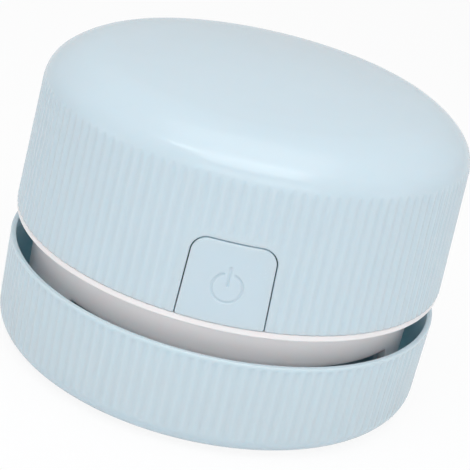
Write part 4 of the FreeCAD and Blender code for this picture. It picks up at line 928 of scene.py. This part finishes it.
def seat_mesh(angle):
    """Upright rib on the wall that the neck stands on."""
    form = Form()
    outline = np.array(SEAT_OUTLINE)
    across = np.array([-math.sin(angle), math.cos(angle), 0])
    out = np.array([math.cos(angle), math.sin(angle), 0])
    flat = outline[:, :1] * out + outline[:, 1:] * np.array([0, 0, 1])
    form.grid([flat + side * across for side in (SEAT_WIDTH / 2, -SEAT_WIDTH / 2)])
    count = len(outline)
    form.faces += [list(range(count, 2 * count))[::-1], list(range(count))]
    return form.mesh("seat")


def cylinder_mesh(name, radius, low, high, place, count=40):
    form = Form()
    form.grid(turned([(radius, low), (radius, high)], ring_angles(count), place))
    form.faces += [list(range(count))[::-1], list(range(count, 2 * count))]
    return form.mesh(name)


def cut_plate(angles):
    """Floor ring with round seats cut into it, up to part of the base's rounded edge."""
    ring = Form()
    outline = [(MOUTH_RADIUS, TABLE_GAP)]
    outline += [rounding_point(turn) for turn in np.linspace(-math.pi / 2, rounding_start(), 5)]
    outline += [(BASE_BORE - BASE_BEVEL, BASE_FLOOR_TOP), (MOUTH_RADIUS, BASE_FLOOR_TOP)]
    ring.grid(turned(outline + outline[:1], angles))
    cutters = []
    for spot in around(FOOT_CIRCLE, FEET):
        cutters.append(cylinder_mesh("seat", FOOT_SEAT_RADIUS, CUTTER_LOW, FOOT_TOP, spot))
    for spot in around(SCREW_CIRCLE, BASE_SCREWS):
        cutters.append(cylinder_mesh("sink", SCREW_SINK_RADIUS, CUTTER_LOW, SCREW_SINK_TOP, spot))
        cutters.append(cylinder_mesh("hole", SCREW_HOLE_RADIUS, SCREW_SINK_TOP - 0.1, CUTTER_TOP, spot))
    plate = linked("plate", ring.mesh("plate"))
    things = [plate]
    for mesh in cutters:
        things.append(linked(mesh.name, mesh))
        cut = plate.modifiers.new("cut", "BOOLEAN")
        cut.operation = "DIFFERENCE"
        cut.solver = "EXACT"
        cut.object = things[-1]
    result = finished_mesh(plate)
    for thing in things:
        data = thing.data
        bpy.data.objects.remove(thing)
        bpy.data.meshes.remove(data)
    return result


def glide_feet():
    """Round pads with a rounded lower edge."""
    corner = FOOT_RADIUS - FOOT_ROUNDING
    outline = [(0, 0), (corner * 0.6, 0)]
    for turn in np.radians((0, 30, 60, 90)):
        outline.append((corner + FOOT_ROUNDING * math.sin(turn), FOOT_ROUNDING * (1 - math.cos(turn))))
    outline += [(FOOT_RADIUS, FOOT_TOP), (0, FOOT_TOP)]
    return lathe("rubber_feet", outline, around(FOOT_CIRCLE, FEET))


# ---- neck and filter seal -------------------------------------------------------------------
def outlet_middles():
    return [middle + math.radians(OUTLET_TURN) for middle in (FRONT, REAR)]


def neck_edge(angles):
    """Height of the neck's lower edge, which rises over the air outlets at the front and rear."""
    turns = [np.abs((angles - middle + math.pi) % (2 * math.pi) - math.pi) for middle in outlet_middles()]
    past = (np.minimum(*turns) - math.radians(OUTLET_HALF_ANGLE)) * NECK_RADIUS
    share = np.clip(past / OUTLET_SLANT * 0.5 + 0.5, 0, 1)
    return NECK_LOW + (SKIRT_LOW - NECK_LOW) * share * share * (3 - 2 * share)


def neck_angles():
    """Columns of the neck, close together at the sides of the air outlets."""
    near = np.linspace(-1.1, 1.1, 21) * OUTLET_SLANT / NECK_RADIUS
    half = math.radians(OUTLET_HALF_ANGLE)
    edges = [middle + side * half + near for middle in outlet_middles() for side in (-1, 1)]
    whole = np.concatenate([np.arange(NECK_COLUMNS) * 2 * math.pi / NECK_COLUMNS] + edges)
    return np.unique(np.round(whole % (2 * math.pi), 5))


def neck_and_flange():
    """Chassis moulding whose neck has deep sides and an air outlet at the front and rear."""
    def above_neck(centre):
        return centre.z > FLANGE_LOW - 0.05 or math.hypot(centre.x, centre.y) < NECK_INNER - 0.4
    form = Form()
    angles = neck_angles()
    low = neck_edge(angles)
    bend = NECK_ROUNDING
    section = [(NECK_INNER, low + bend)]
    section += rounded_edge(NECK_INNER, low, bend, bend, (30, 60, 90))
    section += rounded_edge(NECK_RADIUS, low, -bend, bend, (90, 60, 30, 0))
    for radius, shares in ((NECK_RADIUS, NECK_SHARES), (NECK_INNER, NECK_SHARES[::-1])):
        section += [(radius, low + (NECK_ROOT - low) * share) for share in shares]
    form.grid(turned(section + section[:1], angles))
    ring = form.mesh("neck_ring")
    body = bevelled(merged_copy("neck_chassis", above_neck), CHASSIS_EDGE)
    return together("neck_and_flange", body, ring)


def together(name, *meshes):
    """One mesh from several, each with its own shading."""
    things = [linked(name, mesh) for mesh in meshes]
    chosen = {"active_object": things[0], "object": things[0], "selected_objects": things}
    with bpy.context.temp_override(**chosen, selected_editable_objects=things):
        bpy.ops.object.join()
    mesh = things[0].data
    bpy.data.objects.remove(things[0])
    return mesh


def lip_seal():
    """Soft ring with a round lip."""
    outline = list(SEAL_OUTLINE_LOW)
    for turn in np.radians(np.linspace(90 - SEAL_SPREAD, 90 + SEAL_SPREAD, 13)):
        outline.append((SEAL_MIDDLE[0] + SEAL_ROUNDING * math.cos(turn),
                        SEAL_MIDDLE[1] + SEAL_ROUNDING * math.sin(turn)))
    return lathe("lip_seal", outline + outline[:1], count=160)


# ---- finishes -----------------------------------------------------------------------------
MILKY_DEPTHS = (0.55, 0.95, 1.1)  # how far red, green and blue spread in pale plastic
MILKY_SCALE = 0.003


def linear(red, green, blue):
    """Colour from 0-255 screen values."""
    def one(value):
        value /= 255
        return value / 12.92 if value <= 0.04045 else ((value + 0.055) / 1.055) ** 2.4
    return (one(red), one(green), one(blue), 1.0)


def shade(colour, share, lift=0.0):
    """A darker or lighter colour of the same kind."""
    return tuple(part * share + lift for part in colour[:3]) + (1.0,)


class Finish:
    """A material with its Principled shader and places for patterns; slot is its name in the part."""

    def __init__(self, slot):
        self.slot = slot
        self.material = bpy.data.materials.new(slot + "_finish")
        self.material.use_nodes = True
        self.tree = self.material.node_tree
        self.shader = self.tree.nodes["Principled BSDF"]
        self.place = node(self.tree, "ShaderNodeTexCoord", {}, {}, "Object")

    def noise(self, size, detail=2.0):
        """Noise whose features are about size millimetres across."""
        inputs = {"Vector": self.place, "Scale": 1 / (size * MM), "Detail": detail}
        return node(self.tree, "ShaderNodeTexNoise", {}, inputs, "Fac")

    def stretched_noise(self, size, along):
        """Noise that is drawn out in the directions whose share is small."""
        drawn = node(self.tree, "ShaderNodeVectorMath", {"operation": "MULTIPLY"}, [self.place, along])
        inputs = {"Vector": drawn, "Scale": 1 / (size * MM), "Detail": 2.0}
        return node(self.tree, "ShaderNodeTexNoise", {}, inputs, "Fac")

    def waves(self, direction, scale, distortion=0.0):
        """Straight or wavering bands."""
        inputs = {"Vector": self.place, "Scale": scale, "Distortion": distortion, "Detail": 0.0}
        return node(self.tree, "ShaderNodeTexWave", {"bands_direction": direction}, inputs, "Fac")

    def mix(self, share, first, second):
        return node(self.tree, "ShaderNodeMix", {"data_type": "RGBA"}, {0: share, 6: first, 7: second}, 2)

    def set(self, **inputs):
        for name, value in inputs.items():
            feed(self.tree, self.shader.inputs[name.replace("_", " ")], value)
        return self

    def bump(self, height, strength, distance):
        inputs = {"Height": height, "Strength": strength, "Distance": distance * MM}
        return self.set(Normal=node(self.tree, "ShaderNodeBump", {}, inputs))


def moulded_plastic(slot, colour, rough, grain=0.35, bump=0.05, mottle=0.03, milky=0.0):
    """Plastic with a fine moulded grain and a barely uneven colour and gloss."""
    finish = Finish(slot)
    broad = finish.noise(14.0)
    fine = finish.noise(grain, 3.0)
    finish.set(Base_Color=finish.mix(broad, colour, shade(colour, 1 - mottle)), IOR=1.5)
    finish.set(Roughness=rough + (broad - 0.5) * 0.04 + (fine - 0.5) * 0.05)
    if milky:
        finish.set(Subsurface_Weight=milky, Subsurface_Radius=MILKY_DEPTHS, Subsurface_Scale=MILKY_SCALE)
    return finish.bump(fine, bump, 0.02)


def rubber(slot, colour):
    """Dull elastomer with a fine bloom."""
    finish = Finish(slot)
    cloud = finish.noise(4.0, 4.0)
    fine = finish.noise(0.2, 2.0)
    bloom = shade(colour, 0.8, 0.03)
    finish.set(Base_Color=finish.mix(cloud, colour, bloom), Roughness=0.62 + cloud * 0.2, IOR=1.48)
    return finish.bump(fine, 0.12, 0.02)


def drawn_metal(slot, colour, rough, along=(1.0, 1.0, 0.06), grain=0.12, tarnish=0.12):
    """Metal with fine lines along its drawing direction and a little tarnish."""
    finish = Finish(slot)
    lines = finish.stretched_noise(grain, along)
    cloud = finish.noise(3.0, 3.0)
    finish.set(Base_Color=finish.mix(cloud, colour, shade(colour, 1 - tarnish)), Metallic=1.0)
    finish.set(Roughness=rough + (lines - 0.5) * 0.18 + (cloud - 0.5) * 0.1)
    return finish.bump(lines, 0.08, 0.01)


def woven_nylon(slot, colour):
    """White yarn that is a little greyer in places."""
    finish = Finish(slot)
    cloud = finish.noise(6.0, 3.0)
    twist = finish.stretched_noise(0.08, (1.0, 1.0, 2.0))
    grey = shade(colour, 0.84)
    finish.set(Base_Color=finish.mix(cloud, colour, grey), Roughness=0.7 + twist * 0.15, IOR=1.5)
    return finish.bump(twist, 0.2, 0.02)


def shrink_sleeve(slot, colour):
    """Glossy film, tight round the cell, with fine creases across it."""
    finish = Finish(slot)
    creases = finish.stretched_noise(1.2, (0.25, 2.0, 0.25))
    cloud = finish.noise(9.0)
    deep = shade(colour, 0.75)
    finish.set(Base_Color=finish.mix(cloud, colour, deep), Roughness=0.22 + creases * 0.12, Coat_Weight=0.4)
    return finish.bump(creases, 0.18, 0.05)


def circuit_board(slot, colour):
    """Solder mask over copper tracks, which show as lighter, raised lines."""
    finish = Finish(slot)
    track = finish.waves("DIAGONAL", 90.0, 3.5).math("GREATER_THAN", 0.62)
    cloud = finish.noise(5.0)
    lighter = shade(colour, 1.7)
    finish.set(Base_Color=finish.mix(track, colour, lighter), Roughness=0.28 + cloud * 0.12, Coat_Weight=0.3)
    return finish.bump(track, 0.25, 0.04)


def laminated_iron(slot, colour):
    """Stacked sheets, seen as fine rings around the core, with a dark varnish."""
    finish = Finish(slot)
    sheets = finish.waves("Z", 320.0)
    dark = shade(colour, 0.55)
    finish.set(Base_Color=finish.mix(sheets, colour, dark), Metallic=0.85, Roughness=0.5 + sheets * 0.12)
    return finish.bump(sheets, 0.25, 0.05)


def plain(red, green, blue):
    return (red, green, blue, 1.0)


SHELL_BLUE = moulded_plastic("shell_blue", linear(197, 214, 224), 0.2, bump=0.03, milky=0.35)
BUTTON_BLUE = moulded_plastic("button_blue", linear(197, 214, 224), 0.26, bump=0.03, milky=0.35)
TRIM_WHITE = moulded_plastic("trim_white", linear(242, 242, 244), 0.3, milky=0.4)
CUP_BLUE = moulded_plastic("cup_blue", linear(176, 197, 208), 0.36, bump=0.06)
FRAME_WHITE = moulded_plastic("frame_white", linear(226, 226, 224), 0.42, bump=0.08)
CLOTH_WHITE = woven_nylon("mesh_white", linear(232, 232, 229))
SEAL_GREY = rubber("seal_grey", plain(0.11, 0.115, 0.12))
BRISTLE_GREY = moulded_plastic("bristle_grey", plain(0.2, 0.22, 0.24), 0.34, mottle=0.25)
FEET_RUBBER = rubber("feet_rubber", plain(0.28, 0.31, 0.33))
SCREW_STEEL = drawn_metal("screw_steel", plain(0.6, 0.6, 0.6), 0.32, along=(1.0, 1.0, 1.0))
FAN_GREY = moulded_plastic("fan_grey", plain(0.09, 0.1, 0.11), 0.38, bump=0.08, mottle=0.15)
MOTOR_STEEL = drawn_metal("motor_steel", plain(0.6, 0.6, 0.6), 0.34)
MOTOR_CAP_WHITE = moulded_plastic("motor_cap_white", plain(0.75, 0.73, 0.66), 0.45, bump=0.08)
BUSH_BRONZE = drawn_metal("bush_bronze", plain(0.65, 0.45, 0.22), 0.42, along=(1.0, 1.0, 1.0))
MAGNET_GREY = moulded_plastic("magnet_grey", plain(0.07, 0.07, 0.075), 0.6, grain=0.15, bump=0.2,
                              mottle=0.3)
TERMINAL_BRASS = drawn_metal("terminal_brass", plain(0.78, 0.62, 0.3), 0.28)
SHAFT_STEEL = drawn_metal("shaft_steel", plain(0.66, 0.66, 0.66), 0.18, grain=0.06)
ARMATURE_IRON = laminated_iron("armature_iron", plain(0.3, 0.26, 0.22))
CELL_WRAP = shrink_sleeve("cell_wrap", plain(0.04, 0.22, 0.2))
HOLDER_BLACK = moulded_plastic("holder_black", plain(0.025, 0.025, 0.028), 0.48, bump=0.12, mottle=0.2)
TAB_NICKEL = drawn_metal("tab_nickel", plain(0.72, 0.7, 0.66), 0.24, along=(0.08, 1.0, 1.0))
BOARD_GREEN = circuit_board("board_green", plain(0.02, 0.17, 0.07))
PLUNGER_WHITE = moulded_plastic("plunger_white", plain(0.8, 0.8, 0.77), 0.35)
LEAD_RED = moulded_plastic("lead_red", plain(0.45, 0.02, 0.02), 0.38, mottle=0.15)
LEAD_BLACK = moulded_plastic("lead_black", plain(0.02, 0.02, 0.02), 0.38, mottle=0.15)

# ---- pieces ---------------------------------------------------------------------------------
RIB_WALL = rib_wall()
BRISTLE_ROWS = bristle_rows()
PAN_SCREW = pan_screw()
FILTER_WEAVE = filter_weave()


def flat_floor(mesh):
    """Shades level faces as the planes that they are."""
    for face in mesh.polygons:
        if abs(face.normal.z) > 0.9999:
            face.use_smooth = False
    return mesh


def seats_mesh(places, height):
    """Points that screws are set at."""
    mesh = bpy.data.meshes.new("screw_seats")
    mesh.from_pydata([(x * MM, y * MM, height * MM) for x, y in places], [], [])
    return mesh


piece("head_shell_ribbed", RIB_WALL.grow("head_shell", SHELL_BLUE, head_shell()), SHELL_BLUE,
      "head", "top_shell")
piece("base_shell_ribbed", flat_floor(RIB_WALL.grow("base_shell", SHELL_BLUE, base_shell())), SHELL_BLUE,
      "base", "base_shell")
piece("power_button_cap", power_button(), BUTTON_BLUE, "button", "power_button")
piece("neck_and_flange", neck_and_flange(), TRIM_WHITE, "head", "neck_chassis")
piece("rubber_feet", glide_feet(), FEET_RUBBER, "base", "glide_feet")
piece("lip_seal", lip_seal(), SEAL_GREY, "filter_unit", "seal_ring")
piece("bristles", BRISTLE_ROWS.grow("bristles", BRISTLE_GREY), BRISTLE_GREY, "base", "brush_tufts")
piece("filter_cloth", FILTER_WEAVE.grow("filter_cloth", CLOTH_WHITE), CLOTH_WHITE,
      "filter_unit", "filter_mesh")

MOULDINGS = (  # name, finish, body, the solid whose shape it has, rounding of its edges
    ("dust_cup_moulding", CUP_BLUE, "base", "dust_cup", MOULDING_EDGE),
    ("brush_plate_moulding", FRAME_WHITE, "base", "brush_plate", MOULDING_EDGE),
    ("filter_frame_moulding", FRAME_WHITE, "filter_unit", "filter_frame", MOULDING_EDGE),
    ("fan_inlet_plate", FRAME_WHITE, "head", "fan_shroud", MOULDING_EDGE),
    ("impeller_wheel", FAN_GREY, "rotor", "impeller", BLADE_EDGE),
)
for name, finish, body, node_name, rounding in MOULDINGS:
    piece(name, bevelled(merged_copy(node_name), rounding), finish, body, node_name)

SCREW_SETS = (  # group, body, places, height of the heads' bearing faces, sizes
    ("base", "base", around(SCREW_CIRCLE, BASE_SCREWS), SCREW_SINK, {}),
    ("chassis", "head", around(34.0, (22, 158, 202, 338)), 25.0, {"Length": 9.0 * MM, "Thread_rows": 66}),
    ("shroud", "head", around(29.0, (90, 210, 330)), 17.5, {"Length": 6.0 * MM}),
    ("motor", "head", ((-8.0, 0), (8.0, 0)), 26.3,
     {"Length": 3.0 * MM, "Head_radius": 2.3 * MM, "Head_height": 1.2 * MM, "Shank_radius": 1.25 * MM,
      "Thread_rows": 24, "Pitch": 0.7 * MM}),
    ("board", "head", ((-7.2, 29.6), (7.2, 29.6)), 30.6,
     {"Length": 3.0 * MM, "Turned_over": 1.0, "Thread_rows": 24}),
)
for group, body, places, height, sizes in SCREW_SETS:
    mesh = PAN_SCREW.grow(group + "_screw_set", SCREW_STEEL, seats_mesh(places, height), **sizes)
    mesh.set_sharp_from_angle(angle=math.radians(40))
    piece(group + "_screw_set", mesh, SCREW_STEEL, body, group + "_screws")

CARRIED_OVER = (  # finish, solids that are shown as they are
    (MOTOR_STEEL, "motor_can"), (MOTOR_CAP_WHITE, "motor_end_cap"), (BUSH_BRONZE, "motor_bushes"),
    (MAGNET_GREY, "motor_magnets"), (TERMINAL_BRASS, "motor_terminals"), (SHAFT_STEEL, "motor_shaft"),
    (ARMATURE_IRON, "motor_armature"), (CELL_WRAP, "battery_cell"), (HOLDER_BLACK, "battery_holder"),
    (HOLDER_BLACK, "usb_tongue"), (HOLDER_BLACK, "switch_body"), (TAB_NICKEL, "battery_tabs"),
    (TAB_NICKEL, "usb_socket"), (BOARD_GREEN, "charge_board"), (BOARD_GREEN, "switch_board"),
    (PLUNGER_WHITE, "switch_plunger"), (LEAD_RED, "leads_red"), (LEAD_BLACK, "leads_black"),
)
for finish, node_name in CARRIED_OVER:
    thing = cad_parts[node_name]
    thing.data.materials.clear()
    thing.data.materials.append(finish.material)


# ---- studio -----------------------------------------------------------------------------------
def camera():
    elevation, azimuth, roll = [math.radians(turn) for turn in CAMERA_TURNS]
    target = Vector((0, 0, FLANGE_LOW)) * MM
    forward = Vector((math.sin(azimuth) * math.cos(elevation), math.cos(azimuth) * math.cos(elevation),
                      -math.sin(elevation)))
    across = Vector((math.cos(azimuth), -math.sin(azimuth), 0))
    above = across.cross(forward)
    right = across * math.cos(roll) + above * math.sin(roll)
    up = above * math.cos(roll) - across * math.sin(roll)
    data = bpy.data.cameras.new("camera")
    data.lens = PIXELS_PER_MM * CAMERA_DISTANCE / PICTURE * SENSOR
    data.sensor_width = SENSOR
    data.shift_x, data.shift_y = [shift / PICTURE for shift in CAMERA_SHIFT]
    data.clip_start = 0.01
    data.clip_end = 10
    thing = linked("camera", data)
    place = target - forward * (CAMERA_DISTANCE * MM)
    thing.matrix_world = Matrix((
        (right.x, up.x, -forward.x, place.x),
        (right.y, up.y, -forward.y, place.y),
        (right.z, up.z, -forward.z, place.z),
        (0, 0, 0, 1),
    ))
    bpy.context.scene.camera = thing


def lamp(name, place, size, energy):
    data = bpy.data.lights.new(name, "AREA")
    data.shape = "RECTANGLE"
    data.size, data.size_y = size[0] * MM, size[1] * MM
    data.energy = energy
    thing = linked(name, data)
    thing.location = Vector(place) * MM
    thing.rotation_euler = (Vector(LAMP_TARGET) - Vector(place)).to_track_quat("-Z", "Y").to_euler()


def white_for_camera(tree, other, share):
    """Share of plain white that the camera and mirror-like surfaces see instead of the lit surface."""
    path = tree.nodes.new("ShaderNodeLightPath")
    camera_ray = Value(tree, path.outputs["Is Camera Ray"])
    glossy_ray = Value(tree, path.outputs["Is Glossy Ray"])
    white = node(tree, "ShaderNodeEmission", {}, {"Color": (1, 1, 1, 1), "Strength": 1.0})
    factor = (camera_ray + glossy_ray * 0.5).math("MINIMUM", 1.0) * share
    return node(tree, "ShaderNodeMixShader", {}, [factor, other, white])


def studio():
    """Pale world and floor, and the lamps."""
    world = bpy.data.worlds.new("studio")
    bpy.context.scene.world = world
    world.use_nodes = True
    tree = world.node_tree
    path = tree.nodes.new("ShaderNodeLightPath")
    seen = Value(tree, path.outputs["Is Camera Ray"])
    background = tree.nodes["Background"]
    background.inputs["Color"].default_value = (1, 1, 1, 1)
    feed(tree, background.inputs["Strength"], WORLD_LIGHT + seen * (1 - WORLD_LIGHT))
    form = Form()
    form.grid([[(-FLOOR_REACH, -FLOOR_REACH, 0), (FLOOR_REACH, -FLOOR_REACH, 0)],
               [(-FLOOR_REACH, FLOOR_REACH, 0), (FLOOR_REACH, FLOOR_REACH, 0)]], closed=False)
    floor = linked("floor", form.mesh("floor"))
    material = bpy.data.materials.new("floor_pale")
    material.use_nodes = True
    tree = material.node_tree
    shader = tree.nodes["Principled BSDF"]
    shader.inputs["Base Color"].default_value = FLOOR_COLOUR
    shader.inputs["Roughness"].default_value = FLOOR_ROUGHNESS
    mixed = white_for_camera(tree, Value(tree, shader.outputs[0]), FLOOR_WHITE)
    tree.links.new(mixed.socket, tree.nodes["Material Output"].inputs["Surface"])
    floor.data.materials.append(material)
    bpy.context.scene.view_settings.view_transform = "Standard"
    for settings in LAMPS:
        lamp(*settings)


camera()
studio()
